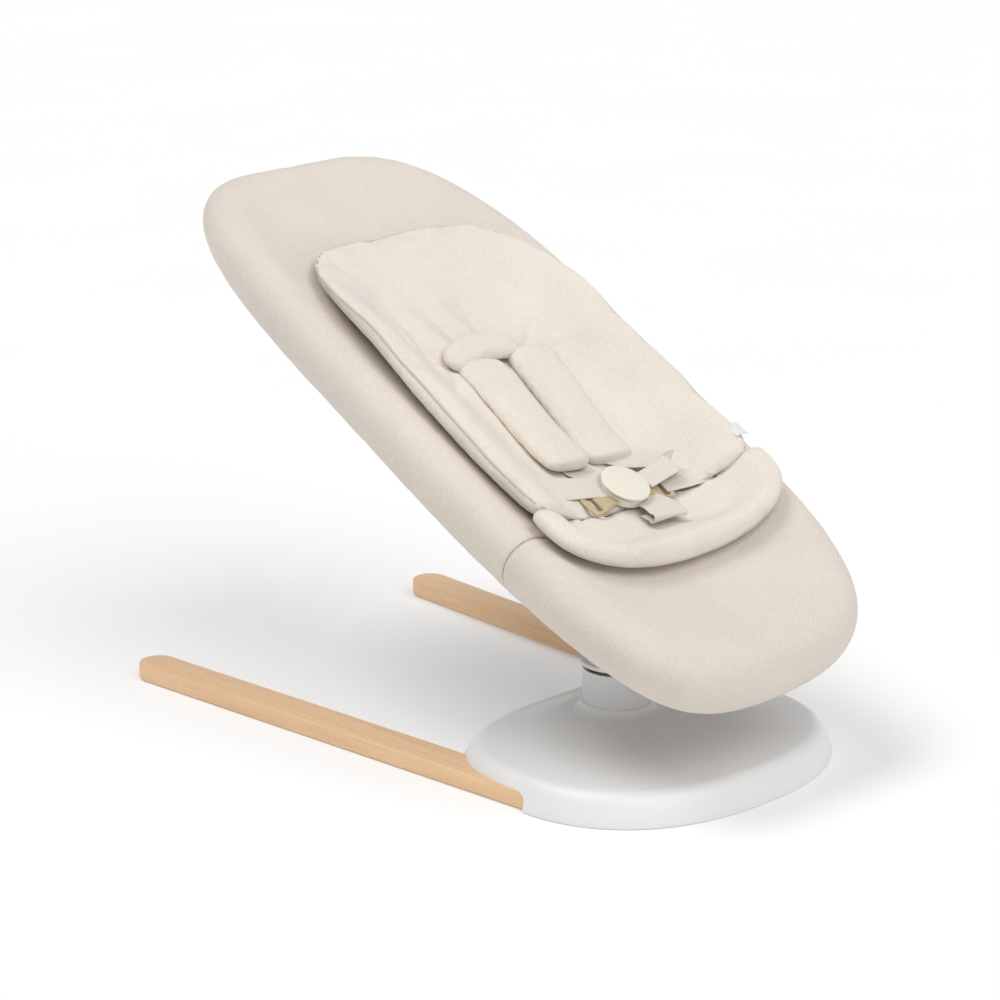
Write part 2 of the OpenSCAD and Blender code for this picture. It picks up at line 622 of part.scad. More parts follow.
module tongue(length) {
    difference() {
        translate([0, -13, 0]) cube([length, 26, tongue_t]);
        translate([length - 8, -10, -1]) cube([4, 20, tongue_t + 2]);
    }
}
module buckle_tongues() color("wheat") at_buckle(2 + buckle_n) {
    translate([body_r + 0.2, 0, 0]) tongue(34);
    rotate([0, 0, 180]) translate([body_r + 0.2, 0, 0]) tongue(34);
}
tag_size = [12, 18, 1.2];
module tag() color("white") at_seat(insert_half_w - 14, 268, pad_base + bolster_t + slot_gap) {
    translate([-tag_size[0] / 2, -tag_size[1] / 2, 0]) cube(tag_size);
}

base_cover();
base_pan();
ballast_plate();
base_feet();
base_screws();
leg_left();
leg_right();
leg_pads();
leg_screws();
neck_column();
column_bolts();
neck_sleeve();
bounce_axle();
axle_clips();
bounce_springs();
carrier();
bounce_bushes();
recline_axle();
axle_nut();
friction_discs();
hub_bracket();
hub_screws();
seat_shell();
seat_deck();
seat_foam();
cover_upper();
cover_lower();
insert_back();
insert_seat();
yoke_pad();
shoulder_pad_left();
shoulder_pad_right();
shoulder_strap_left();
shoulder_strap_right();
waist_strap_left();
waist_strap_right();
crotch_strap();
buckle_body();
buckle_tongues();
tag();
recline_lever();
buckle_button();
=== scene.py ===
"""Looks of the baby bouncer: soft goods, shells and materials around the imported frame."""
import json
import math

import bmesh
import bpy
import numpy as np
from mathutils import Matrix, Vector
from mathutils.bvhtree import BVHTree


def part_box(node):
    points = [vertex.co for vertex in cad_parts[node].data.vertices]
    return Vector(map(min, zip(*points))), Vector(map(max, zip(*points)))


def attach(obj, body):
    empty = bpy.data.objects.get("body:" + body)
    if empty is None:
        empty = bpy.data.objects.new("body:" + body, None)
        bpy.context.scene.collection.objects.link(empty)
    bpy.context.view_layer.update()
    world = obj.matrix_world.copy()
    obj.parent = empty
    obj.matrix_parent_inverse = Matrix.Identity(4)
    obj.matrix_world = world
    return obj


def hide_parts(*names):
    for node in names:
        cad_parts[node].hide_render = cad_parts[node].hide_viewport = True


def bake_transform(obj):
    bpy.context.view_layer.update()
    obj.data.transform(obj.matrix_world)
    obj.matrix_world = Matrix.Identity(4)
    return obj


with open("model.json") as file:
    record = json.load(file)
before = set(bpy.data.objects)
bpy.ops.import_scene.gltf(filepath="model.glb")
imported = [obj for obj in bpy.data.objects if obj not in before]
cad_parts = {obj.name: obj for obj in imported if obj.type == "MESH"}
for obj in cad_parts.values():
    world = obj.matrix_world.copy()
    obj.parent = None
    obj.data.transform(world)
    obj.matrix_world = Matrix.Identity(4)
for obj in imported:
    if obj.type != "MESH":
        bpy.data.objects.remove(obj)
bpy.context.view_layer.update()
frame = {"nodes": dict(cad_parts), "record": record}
nodes = frame["nodes"]

# ---- the seat's middle surface, as in the part's source, in metres ----
SEAT_LEN = 0.852
HALF_W = 0.200
EDGE_R = 0.037
DISH = 0.039
HEAD_LIFT = 0.005
LIFT_LEN = 0.210
FOOT_TILT = math.radians(24.9)
BACK_TILT = math.radians(29.1)
BEND_START = 0.127
BEND_END = 0.360
BEND_R = (BEND_END - BEND_START) / (BACK_TILT - FOOT_TILT)
SEAM_S = 0.228
SEAT_Y = -0.376
SEAT_Z = 0.1245
FOOT_POWER = 3.84
HEAD_POWER = 3.43


def smooth(t):
    u = np.clip(t, 0.0, 1.0)
    return u * u * (3 - 2 * u)


def tilt_at(s):
    return FOOT_TILT + (np.clip(s, BEND_START, BEND_END) - BEND_START) / BEND_R


def on_seat(x, s, n):
    """Points x to the side, s along the centre line and n above the middle surface."""
    x, s, n = np.broadcast_arrays(np.asarray(x, float), np.asarray(s, float), np.asarray(n, float))
    a = tilt_at(s)
    y = np.minimum(s, BEND_START) * math.cos(FOOT_TILT)
    y = y + BEND_R * (np.sin(a) - math.sin(FOOT_TILT)) + np.maximum(s - BEND_END, 0) * math.cos(BACK_TILT)
    z = np.minimum(s, BEND_START) * math.sin(FOOT_TILT)
    z = z - BEND_R * (np.cos(a) - math.cos(FOOT_TILT)) + np.maximum(s - BEND_END, 0) * math.sin(BACK_TILT)
    q = (x / HALF_W) ** 2
    h = n + DISH * q + HEAD_LIFT * smooth((s - SEAT_LEN + LIFT_LEN) / LIFT_LEN) * (1 - q)
    return np.stack([x, SEAT_Y + y - h * np.sin(a), SEAT_Z + z + h * np.cos(a)], -1)


def seat_normal(s):
    a = tilt_at(np.asarray(s, float))
    return np.stack([np.zeros_like(a), -np.sin(a), np.cos(a)], -1)


def ripple(x, s, seed, scale):
    """Smooth, repeatable unevenness between about -1 and 1, with features of about scale metres."""
    rng = np.random.default_rng(seed)
    total = np.zeros(np.broadcast(x, s).shape)
    for _ in range(7):
        angle = rng.uniform(0, 2 * math.pi)
        phase = rng.uniform(0, 2 * math.pi)
        f = rng.uniform(0.6, 1.7)
        total = total + np.sin((x * math.cos(angle) + s * math.sin(angle)) * 2 * math.pi * f / scale + phase)
    return total / 4


def spread(x, s, count):
    """count points spread evenly along the closed outline through x and s."""
    x, s = np.append(x, x[0]), np.append(s, s[0])
    length = np.concatenate([[0], np.cumsum(np.hypot(np.diff(x), np.diff(s)))])
    at = np.linspace(0, length[-1], count, endpoint=False)
    return np.interp(at, length, x), np.interp(at, length, s)


# ---- meshes ----
def new_object(name, verts, faces, uv=None, material=None):
    mesh = bpy.data.meshes.new(name)
    mesh.from_pydata([tuple(v) for v in np.asarray(verts, float)], [], faces)
    mesh.polygons.foreach_set("use_smooth", [True] * len(mesh.polygons))
    if uv is not None:
        layer = mesh.uv_layers.new(name="weave")
        loops = np.zeros(len(mesh.loops), int)
        mesh.loops.foreach_get("vertex_index", loops)
        layer.data.foreach_set("uv", np.asarray(uv, float)[loops].ravel())
    mesh.validate()
    mesh.update()
    obj = bpy.data.objects.new(name, mesh)
    bpy.context.scene.collection.objects.link(obj)
    if material is not None:
        mesh.materials.append(material)
    return obj


def grid_faces(rows, cols, wrap_cols=True, wrap_rows=False):
    faces = []
    for i in range(rows if wrap_rows else rows - 1):
        for j in range(cols if wrap_cols else cols - 1):
            a, b = i * cols + j, i * cols + (j + 1) % cols
            c, d = ((i + 1) % rows) * cols + j, ((i + 1) % rows) * cols + (j + 1) % cols
            faces.append((a, b, d, c))
    return faces


def loft(name, rings, uv=None, cap_start=True, cap_end=True, material=None):
    """A skin through closed rings of equal length."""
    rings = np.asarray(rings, float)
    rows, cols = rings.shape[:2]
    verts = rings.reshape(-1, 3)
    faces = grid_faces(rows, cols)
    if cap_start:
        faces.append(tuple(range(cols))[::-1])
    if cap_end:
        faces.append(tuple((rows - 1) * cols + j for j in range(cols)))
    flat_uv = None if uv is None else np.asarray(uv, float).reshape(-1, 2)
    obj = new_object(name, verts, faces, flat_uv, material)
    outward(obj)
    return obj


def outward(obj):
    bm = bmesh.new()
    bm.from_mesh(obj.data)
    bmesh.ops.recalc_face_normals(bm, faces=bm.faces)
    bm.to_mesh(obj.data)
    bm.free()


def add_modifier(obj, kind, **values):
    mod = obj.modifiers.new(kind.lower(), kind)
    for key, value in values.items():
        setattr(mod, key, value)
    return mod


def apply_all(obj):
    """Replaces obj's mesh with its evaluated one, and clears its modifiers."""
    graph = bpy.context.evaluated_depsgraph_get()
    mesh = bpy.data.meshes.new_from_object(obj.evaluated_get(graph))
    old = obj.data
    obj.modifiers.clear()
    obj.data = mesh
    if old.users == 0:
        bpy.data.meshes.remove(old)
    obj.data.polygons.foreach_set("use_smooth", [True] * len(obj.data.polygons))


def coords(obj):
    co = np.zeros(len(obj.data.vertices) * 3)
    obj.data.vertices.foreach_get("co", co)
    return co.reshape(-1, 3)


def set_coords(obj, co):
    obj.data.vertices.foreach_set("co", np.asarray(co, float).ravel())
    obj.data.update()


def unit(v):
    return v / np.linalg.norm(v, axis=-1, keepdims=True)


def joined(name, parts):
    """One piece from several meshes."""
    verts, faces = [], []
    for part in parts:
        base = len(verts)
        verts += [tuple(v.co) for v in part.data.vertices]
        faces += [tuple(base + i for i in p.vertices) for p in part.data.polygons]
        bpy.data.objects.remove(part)
    return new_object(name, verts, faces)


def seat_coords(co):
    """The x, s and n of points in space."""
    s = (co[:, 1] - SEAT_Y) / math.cos(BACK_TILT)
    for _ in range(12):
        a = tilt_at(s)
        s = s + np.sum((co - on_seat(0, s, 0))[:, 1:] * np.stack([np.cos(a), np.sin(a)], -1), axis=1)
    n = np.sum((co - on_seat(co[:, 0], s, 0)) * seat_normal(s), axis=1)
    return co[:, 0], s, n


def sculpt(obj, height):
    """Moves obj's surface along the seat's normal by height(x, s, n)."""
    co = coords(obj)
    x, s, n = seat_coords(co)
    set_coords(obj, co + seat_normal(s) * height(x, s, n)[:, None])


PRESSURE = 4.0
SETTLE_FRAMES = 20


def puffed(obj, held, voxel, cap, grow):
    """Blows a pad up as cloth round its filling. held(x, s, n) says where it is sewn down, cap is the
    farthest that any point may move and grow the share by which the cloth is cut too large."""
    add_modifier(obj, "REMESH", mode="VOXEL", voxel_size=voxel)
    apply_all(obj)
    rest = coords(obj)
    group = obj.vertex_groups.new(name="sewn")
    group.add([int(i) for i in np.nonzero(held(*seat_coords(rest)))[0]], 1.0, "REPLACE")
    cloth = add_modifier(obj, "CLOTH")
    cloth.settings.quality = 6
    cloth.settings.mass = 0.3
    cloth.settings.tension_stiffness = 12
    cloth.settings.compression_stiffness = 12
    cloth.settings.shear_stiffness = 5
    cloth.settings.bending_stiffness = 0.6
    cloth.settings.vertex_group_mass = "sewn"
    cloth.settings.use_pressure = True
    cloth.settings.uniform_pressure_force = PRESSURE
    cloth.settings.shrink_min = -grow
    cloth.settings.effector_weights.gravity = 0
    cloth.collision_settings.use_collision = False
    cloth.point_cache.frame_start = 1
    cloth.point_cache.frame_end = SETTLE_FRAMES
    for frame_number in range(1, SETTLE_FRAMES + 1):
        bpy.context.scene.frame_set(frame_number)
    apply_all(obj)
    moved = coords(obj) - rest
    far = np.linalg.norm(moved, axis=1, keepdims=True)
    set_coords(obj, rest + moved * np.minimum(1, cap / np.maximum(far, 1e-9)))
    bpy.context.scene.frame_set(1)
    add_modifier(obj, "SUBSURF", levels=1)
    apply_all(obj)


def cord(name, path, radius, sides=8):
    """A closed round cord through path."""
    path = np.asarray(path, float)
    along = unit(np.roll(path, -1, axis=0) - np.roll(path, 1, axis=0))
    side = unit(np.cross(along, seat_normal(0.4)))
    up = np.cross(side, along)
    rings = [path + radius * (side * math.cos(a) + up * math.sin(a))
             for a in np.linspace(0, 2 * math.pi, sides, endpoint=False)]
    rings = np.stack(rings, 1)
    obj = new_object(name, rings.reshape(-1, 3), grid_faces(len(path), sides, True, True))
    outward(obj)
    return obj


def piped(obj, paths, radius=0.0013):
    """Adds piping to a pad: each path is snapped onto its surface and a cord laid along it. The cords are
    marked in the seam attribute, by which the cloth material colours them darker as painted seam shadow.
    """
    tree = BVHTree.FromObject(obj, bpy.context.evaluated_depsgraph_get())
    cords = []
    plain = len(obj.data.vertices)
    for path in paths:
        snapped = np.array([tree.find_nearest(Vector(p))[0] for p in path])
        for _ in range(8):
            snapped = (np.roll(snapped, 1, axis=0) + 2 * snapped + np.roll(snapped, -1, axis=0)) / 4
        cords.append(cord("cord", snapped, radius))
    whole = joined(obj.name, [obj] + cords)
    # the seam attribute marks the cord vertices, which the cloth material colours darker as painted seam
    # shadow
    shade = whole.data.attributes.new("seam", "FLOAT", "POINT")
    shade.data.foreach_set("value", (np.arange(len(whole.data.vertices)) >= plain).astype(np.float32))
    return whole


# ---- materials ----
def node_maker(mat):
    mat.use_nodes = True
    tree = mat.node_tree
    tree.nodes.clear()

    def make(kind, inputs=None, **props):
        n = tree.nodes.new(kind)
        for key, value in props.items():
            setattr(n, key, value)
        for key, value in (inputs or {}).items():
            if isinstance(value, bpy.types.NodeSocket):
                tree.links.new(value, n.inputs[key])
            else:
                n.inputs[key].default_value = value
        return n

    return make


def rgba(c):
    return (*c, 1.0)


def mixed(make, factor, a, b, blend="MIX"):
    n = make("ShaderNodeMix", data_type="RGBA", blend_type=blend)
    tree = n.id_data
    for socket, value in ((n.inputs[0], factor), (n.inputs[6], a), (n.inputs[7], b)):
        if isinstance(value, bpy.types.NodeSocket):
            tree.links.new(value, socket)
        else:
            socket.default_value = value
    return n.outputs[2]


def maths(make, op, a, b=0.0):
    n = make("ShaderNodeMath", {0: a, 1: b}, operation=op)
    return n.outputs[0]


def noise(make, place, scale=1.0, detail=2.0, roughness=0.5, distortion=0.0):
    inputs = {"Vector": place, "Scale": scale, "Detail": detail, "Roughness": roughness,
              "Distortion": distortion}
    return make("ShaderNodeTexNoise", inputs).outputs["Fac"]


def ranged(make, value, low=0.0, high=1.0, to_low=0.0, to_high=1.0):
    """value stretched from low..high to to_low..to_high, and held to that range."""
    inputs = {"Value": value, "From Min": low, "From Max": high, "To Min": to_low, "To Max": to_high}
    return make("ShaderNodeMapRange", inputs).outputs[0]


def stretched(make, place, scale):
    return make("ShaderNodeMapping", {"Vector": place, "Scale": scale}).outputs[0]


def bumped(make, height, strength, distance):
    return make("ShaderNodeBump", {"Height": height, "Strength": strength, "Distance": distance}).outputs[0]


def finish_material(make, color, roughness, normal=None, **sockets):
    shader = make("ShaderNodeBsdfPrincipled", {"Base Color": color, "Roughness": roughness})
    for key, value in sockets.items():
        shader.inputs[key.replace("_", " ")].default_value = value
    if normal is not None:
        shader.id_data.links.new(normal, shader.inputs["Normal"])
    make("ShaderNodeOutputMaterial", {"Surface": shader.outputs[0]})


def weave_coords(make, by_uv, turn=0.0):
    """Metres along the cloth: its own layout, or the object's place turned into the seat's plane."""
    if by_uv:
        source = make("ShaderNodeUVMap", uv_map="weave").outputs[0]
        return make("ShaderNodeMapping", {"Vector": source, "Rotation": (0, 0, turn)}).outputs[0]
    source = make("ShaderNodeTexCoord").outputs["Object"]
    lean = make("ShaderNodeMapping", {"Vector": source, "Rotation": (-BACK_TILT, 0, 0)}).outputs[0]
    return make("ShaderNodeMapping", {"Vector": lean, "Rotation": (0, 0, turn)}).outputs[0]


BANDS_PER_METRE = 3.2                      # about what a wave texture of scale 1 draws


def fabric(name, light, dark, rib=0.0022, rib_turn=math.radians(38), rib_valley_shade=0.5, bump=0.35,
           by_uv=True, heather=0.5, cross=0.6):
    """A knitted or woven cloth: crossing ribs, flecked yarn, a soft nap, with painted shade in the rib
    valleys and on the piping cords.
    """
    mat = bpy.data.materials.new(name)
    make = node_maker(mat)
    place = weave_coords(make, by_uv)
    turned = weave_coords(make, by_uv, rib_turn)
    cross_turned = weave_coords(make, by_uv, rib_turn + math.radians(90))
    warp = {"Scale": 1 / rib / BANDS_PER_METRE, "Distortion": 1.2, "Detail": 1.0, "Detail Scale": 0.6}
    ribs = make("ShaderNodeTexWave", {"Vector": turned, **warp}, wave_type="BANDS").outputs["Fac"]
    across = make("ShaderNodeTexWave", {"Vector": cross_turned, **warp}, wave_type="BANDS").outputs["Fac"]
    crossing = maths(make, "MULTIPLY", maths(make, "MULTIPLY", ribs, across), cross)
    knit = maths(make, "ADD", maths(make, "MULTIPLY", ribs, 1 - cross), crossing)
    yarn = noise(make, place, 700.0, 3.0, 0.7)
    cloud = noise(make, place, 9.0, 3.0, 0.6)
    fleck = ranged(make, yarn, 0.35, 0.68)
    slub = noise(make, stretched(make, turned, (520, 190, 520)))
    slubs = ranged(make, slub, 0.38, 0.66)
    flecks = maths(make, "ADD", maths(make, "MULTIPLY", fleck, 0.4), maths(make, "MULTIPLY", slubs, 0.6))
    tone = mixed(make, maths(make, "MULTIPLY", flecks, heather), rgba(light), rgba(dark))
    # painted shade: the rib valleys are coloured darker, towards 0.72 of the dark tone, as if shaded
    valley_shade = maths(make, "MULTIPLY", maths(make, "SUBTRACT", 1.0, knit), rib_valley_shade)
    tone = mixed(make, valley_shade, tone, rgba([c * 0.72 for c in dark]))
    tone = mixed(make, 1.0, tone, ranged(make, cloud, 0.3, 0.7, 0.96, 1.03), "MULTIPLY")
    # painted shade: the piping cords, marked by the seam attribute, are coloured darker to stand for the
    # shadow along the seams
    seam = make("ShaderNodeAttribute", attribute_name="seam").outputs["Fac"]
    tone = mixed(make, maths(make, "MULTIPLY", seam, 0.55), tone, rgba([c * 0.62 for c in dark]))
    height = maths(make, "ADD", maths(make, "MULTIPLY", knit, 0.6), maths(make, "MULTIPLY", yarn, 0.3))
    height = maths(make, "ADD", height, maths(make, "MULTIPLY", slub, 0.4))
    finish_material(make, tone, 0.93, bumped(make, height, bump, 0.0006), Sheen_Weight=0.22,
                    Sheen_Roughness=0.45, Specular_IOR_Level=0.2)
    return mat


def plastic(name, color, roughness=0.32, grain=0.02, mottling=0.015, subsurface=0.0):
    """Moulded plastic: an almost even colour, a fine tooled grain and slight unevenness in its gloss."""
    mat = bpy.data.materials.new(name)
    make = node_maker(mat)
    place = make("ShaderNodeTexCoord").outputs["Object"]
    fine = noise(make, place, 1400.0)
    broad = noise(make, place, 14.0, 3.0)
    darker = rgba([c * (1 - mottling) for c in color])
    lighter = rgba([min(1, c * (1 + mottling)) for c in color])
    tone = mixed(make, broad, darker, lighter)
    rough = ranged(make, broad, to_low=roughness * 0.88, to_high=roughness * 1.12)
    finish_material(make, tone, rough, bumped(make, fine, grain, 0.0004), Subsurface_Weight=subsurface)
    return mat


def metal(name, color, roughness=0.3, brushed=0.1, metallic=1.0):
    """Metal with fine scratches along X and a dulled, uneven sheen."""
    mat = bpy.data.materials.new(name)
    make = node_maker(mat)
    source = make("ShaderNodeTexCoord").outputs["Object"]
    scratch = noise(make, stretched(make, source, (60, 900, 900)), detail=3.0)
    stain = noise(make, source, 40.0, 4.0)
    tone = mixed(make, stain, rgba([c * 0.9 for c in color]), rgba(color))
    rough = ranged(make, scratch, to_low=roughness * 0.8, to_high=roughness * 1.3)
    finish_material(make, tone, rough, bumped(make, scratch, brushed, 0.0002), Metallic=metallic)
    return mat


def beech(name):
    """Clear-lacquered beech: fine straight grain along the leg, small dark rays, faint broad bands."""
    mat = bpy.data.materials.new(name)
    make = node_maker(mat)
    source = make("ShaderNodeTexCoord").outputs["Object"]
    grain = noise(make, stretched(make, source, (140, 3.2, 140)), detail=5.0, distortion=0.25)
    bands = noise(make, stretched(make, source, (26, 0.9, 26)))
    rays = noise(make, stretched(make, source, (900, 160, 900)), detail=1.0)
    light, mid, dark = (0.83, 0.565, 0.335), (0.74, 0.48, 0.27), (0.52, 0.31, 0.16)
    tone = mixed(make, ranged(make, grain, 0.32, 0.7), rgba(light), rgba(mid))
    tone = mixed(make, ranged(make, bands, 0.35, 0.75, to_high=0.4), tone, rgba(mid))
    ray = ranged(make, rays, 0.62, 0.72)
    tone = mixed(make, maths(make, "MULTIPLY", ray, 0.35), tone, rgba(dark))
    rough = ranged(make, grain, to_low=0.36, to_high=0.5)
    normal = bumped(make, grain, 0.12, 0.0004)
    finish_material(make, tone, rough, normal, Coat_Weight=0.12, Coat_Roughness=0.3)
    return mat


COVER_LIGHT, COVER_DARK = (0.775, 0.705, 0.635), (0.585, 0.515, 0.45)
INSERT_LIGHT, INSERT_DARK = (0.815, 0.755, 0.68), (0.65, 0.59, 0.51)
PAD_LIGHT, PAD_DARK = (0.805, 0.745, 0.67), (0.64, 0.58, 0.50)
MATS = {
    "cover_fabric": fabric("upper_cover_cloth", COVER_LIGHT, COVER_DARK, rib=0.0019,
                           rib_turn=math.radians(12), rib_valley_shade=0.16, bump=0.3, cross=0.5),
    "cover_fabric_foot": fabric("foot_cover_cloth", COVER_LIGHT, COVER_DARK, rib=0.0026,
                                rib_turn=math.radians(40), rib_valley_shade=0.26, bump=0.45, cross=0.35),
    "insert_fabric": fabric("insert_cloth", INSERT_LIGHT, INSERT_DARK, rib=0.0016, rib_turn=math.radians(5),
                            rib_valley_shade=0.14, bump=0.32, by_uv=False, heather=0.5),
    "harness_pad_fabric": fabric("pad_cloth", PAD_LIGHT, PAD_DARK, rib=0.0016, rib_turn=math.radians(8),
                                 rib_valley_shade=0.14, bump=0.32, by_uv=False, heather=0.5),
    "webbing": fabric("webbing_cloth", (0.79, 0.735, 0.66), (0.66, 0.60, 0.525), rib=0.0014, rib_turn=0.0,
                      rib_valley_shade=0.3, bump=0.5, heather=0.3, cross=0.5),
    "tag_fabric": fabric("label_ribbon", (0.80, 0.80, 0.77), (0.68, 0.68, 0.65), rib=0.0008,
                         rib_valley_shade=0.1, by_uv=False),
    "foam": fabric("seat_foam_skin", (0.85, 0.81, 0.7), (0.72, 0.67, 0.55), rib=0.003,
                   rib_valley_shade=0.2, by_uv=False),
    "white_plastic": plastic("base_white", (0.77, 0.77, 0.77), 0.38, 0.03),
    "dark_plastic": plastic("dark_plastic", (0.035, 0.035, 0.038), 0.5, 0.15),
    "shell_plastic": plastic("shell_plastic", (0.62, 0.61, 0.59), 0.5, 0.12),
    "buckle_plastic": plastic("buckle_cream", (0.85, 0.80, 0.70), 0.28, 0.02, subsurface=0.1),
    "button_plastic": plastic("button_cream", (0.83, 0.755, 0.65), 0.25, 0.015, subsurface=0.1),
    "tongue_plastic": plastic("tongue_amber", (0.56, 0.44, 0.27), 0.22, 0.02, subsurface=0.2),
    "bush_plastic": plastic("bush_acetal", (0.75, 0.72, 0.62), 0.35),
    "foot_rubber": plastic("foot_rubber", (0.05, 0.05, 0.052), 0.8, 0.3),
    "ballast_steel": metal("ballast_coat", (0.06, 0.062, 0.065), 0.55, 0.2, 0.3),
    "painted_steel": metal("grey_powder_coat", (0.6, 0.6, 0.59), 0.5, 0.2, 0.15),
    "cast_aluminium": metal("cast_aluminium", (0.74, 0.75, 0.73), 0.45, 0.2, 0.6),
    "screw_steel": metal("zinc_steel", (0.6, 0.6, 0.58), 0.3),
    "axle_steel": metal("ground_steel", (0.62, 0.62, 0.62), 0.2),
    "spring_steel": metal("spring_steel", (0.3, 0.3, 0.31), 0.3),
    "brass_disc": metal("bronze", (0.6, 0.42, 0.2), 0.35),
    "beech": beech("beech"),
}
SLOT_OF = {p["node"]: p["material_slot"] for p in frame["record"]["subparts"]}


def dress(obj, slot):
    obj.data.materials.clear()
    obj.data.materials.append(MATS[slot])


for node_name, node_obj in nodes.items():
    node_obj.data.materials.clear()
    node_obj.data.materials.append(MATS[SLOT_OF[node_name]])


# ---- camera ----
VIEW_AZIMUTH, VIEW_ELEVATION = math.radians(-44.5), math.radians(17.02)
VIEW_DISTANCE = 3.4383
VIEW_TARGET = Vector((-0.06695, -0.04797, 0.26253))
LENS = 119.81
away = Vector((math.sin(VIEW_AZIMUTH) * math.cos(VIEW_ELEVATION),
               -math.cos(VIEW_AZIMUTH) * math.cos(VIEW_ELEVATION), math.sin(VIEW_ELEVATION)))
camera = bpy.data.objects.new("camera", bpy.data.cameras.new("camera"))
camera.data.lens = LENS
camera.data.sensor_width = 36.0
camera.location = VIEW_TARGET + away * VIEW_DISTANCE
camera.rotation_euler = (-away).to_track_quat("-Z", "Y").to_euler()
bpy.context.scene.collection.objects.link(camera)
bpy.context.scene.camera = camera


# ---- seat cover ----
RING_N = 300


def power(c, p):
    """c (a sine or cosine) bent to draw a superellipse of power p."""
    return np.sign(c) * np.abs(c) ** (2 / p)


def plan_ring(inset, k, count):
    """The seat's outline drawn in by inset and shrunk to a share k."""
    t = np.linspace(0, 2 * math.pi, count, endpoint=False)
    c, si = np.cos(t), np.sin(t)
    p = np.where(c > 0, HEAD_POWER, FOOT_POWER)
    x = (HALF_W - inset) * k * power(si, p)
    s = SEAT_LEN / 2 + (SEAT_LEN / 2 - inset) * k * power(c, p)
    return x, s


def even_ring(inset, k=1.0, count=RING_N):
    """plan_ring with its points spread evenly along its length."""
    return spread(*plan_ring(inset, k, count * 6), count)


def cover_rows():
    """(inset, n, k, arc) of each ring, from the middle of the top to the hem under the seat."""
    rows = [(EDGE_R, EDGE_R, k, 0.0) for k in np.linspace(0.08, 0.97, 30)]
    for phi in np.radians(np.linspace(90, -90, 25)):
        rows.append((EDGE_R * (1 - math.cos(phi)), EDGE_R * math.sin(phi), 1.0, EDGE_R * (math.pi / 2 - phi)))
    half_round = EDGE_R * math.pi
    rows += [(EDGE_R, -EDGE_R, k, half_round + (1 - k) * HALF_W) for k in np.linspace(0.965, 0.72, 9)]
    return rows


def cover_sheet():
    rings, uv = [], []
    rim_x, rim_s = even_ring(EDGE_R)
    dx, ds = np.roll(rim_x, -1) - np.roll(rim_x, 1), np.roll(rim_s, -1) - np.roll(rim_s, 1)
    length = np.hypot(dx, ds)
    out_x, out_s = -ds / length, dx / length
    sign = np.sign(np.sum(out_x * rim_x + out_s * (rim_s - SEAT_LEN / 2)))
    out_x, out_s = out_x * sign, out_s * sign
    for inset, n, k, arc in cover_rows():
        x, s = even_ring(inset, k)
        lump = 0.0007 * ripple(x, s, 3, 0.17) + 0.00035 * ripple(x, s, 4, 0.05)
        rings.append(on_seat(x, s, n) + lump[:, None] * seat_normal(s) * (1 if n >= 0 else -1))
        if arc == 0.0:
            uv.append(np.stack([x, s], -1))
        else:
            uv.append(np.stack([rim_x + out_x * arc, rim_s + out_s * arc], -1))
    return np.array(rings), np.array(uv)


def seam_plane():
    a = float(tilt_at(SEAM_S))
    return Vector(on_seat(0, SEAM_S, 0)), Vector((0, math.cos(a), math.sin(a)))


CLOTH_T = 0.0022
SEAM_DEPTH, SEAM_WIDTH = 0.0014, 0.0018    # the cloth dips towards the seam
SWELL, SWELL_AT, SWELL_WIDTH = 0.0005, 0.006, 0.004    # and swells a little beside it


def cover_piece(name, side, slot):
    """The part of the cover on one side of the seam, with its edge turned in along the seam."""
    rings, uv = cover_sheet()
    obj = loft(name, rings, uv, cap_start=True, cap_end=False)
    point, normal = seam_plane()
    bm = bmesh.new()
    bm.from_mesh(obj.data)
    for offset in (0.0, 0.0015, 0.004, 0.009):
        bmesh.ops.bisect_plane(bm, geom=bm.verts[:] + bm.edges[:] + bm.faces[:], dist=1e-6,
                               plane_co=point + normal * (offset + 0.0002) * side, plane_no=normal * side,
                               clear_inner=offset == 0.0)
    bm.normal_update()
    for v in bm.verts:
        d = (v.co - point).dot(normal) * side
        v.co -= v.normal * SEAM_DEPTH * math.exp(-(d / SEAM_WIDTH) ** 2)
        v.co += v.normal * SWELL * math.exp(-((d - SWELL_AT) / SWELL_WIDTH) ** 2)
    bm.to_mesh(obj.data)
    bm.free()
    add_modifier(obj, "SOLIDIFY", thickness=CLOTH_T, offset=-1.0)
    apply_all(obj)
    dress(obj, slot)
    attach(obj, "seat")
    return obj


upper = cover_piece("upper_cover", 1, "cover_fabric")
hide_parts("cover_upper")
lower = cover_piece("foot_cover", -1, "cover_fabric_foot")
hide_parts("cover_lower")


# ---- base ----
BASE_HALF_W, BASE_HALF_L, BASE_Y = 0.198, 0.162, -0.205
DOME_H = 0.045
BASE_FRONT_POWER, BASE_REAR_POWER = 2.3, 2.8
BASE_Z0 = 0.0005
NECK_LOW, NECK_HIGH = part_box("neck_sleeve")
NECK_Y = (NECK_LOW[1] + NECK_HIGH[1]) / 2
NECK_R = 0.036
WALL = 0.0025
SLOT_GAP = 0.0003                          # round the legs
NECK_GAP = 0.0003                          # round the neck sleeve
BASE_N = 220


def base_ring(inset, z):
    t = np.linspace(0, 2 * math.pi, BASE_N, endpoint=False)
    c, si = np.cos(t), np.sin(t)
    p = np.where(c > 0, BASE_REAR_POWER, BASE_FRONT_POWER)
    return np.stack([(BASE_HALF_W - inset) * power(si, p), BASE_Y + (BASE_HALF_L - inset) * power(c, p),
                     np.full(BASE_N, z)], -1)


FLARE = 0.012                              # radius of the flare round the neck
RIDGE_IN, RIDGE_Z = 0.021, 0.0335          # the soft ridge inside the rim's band


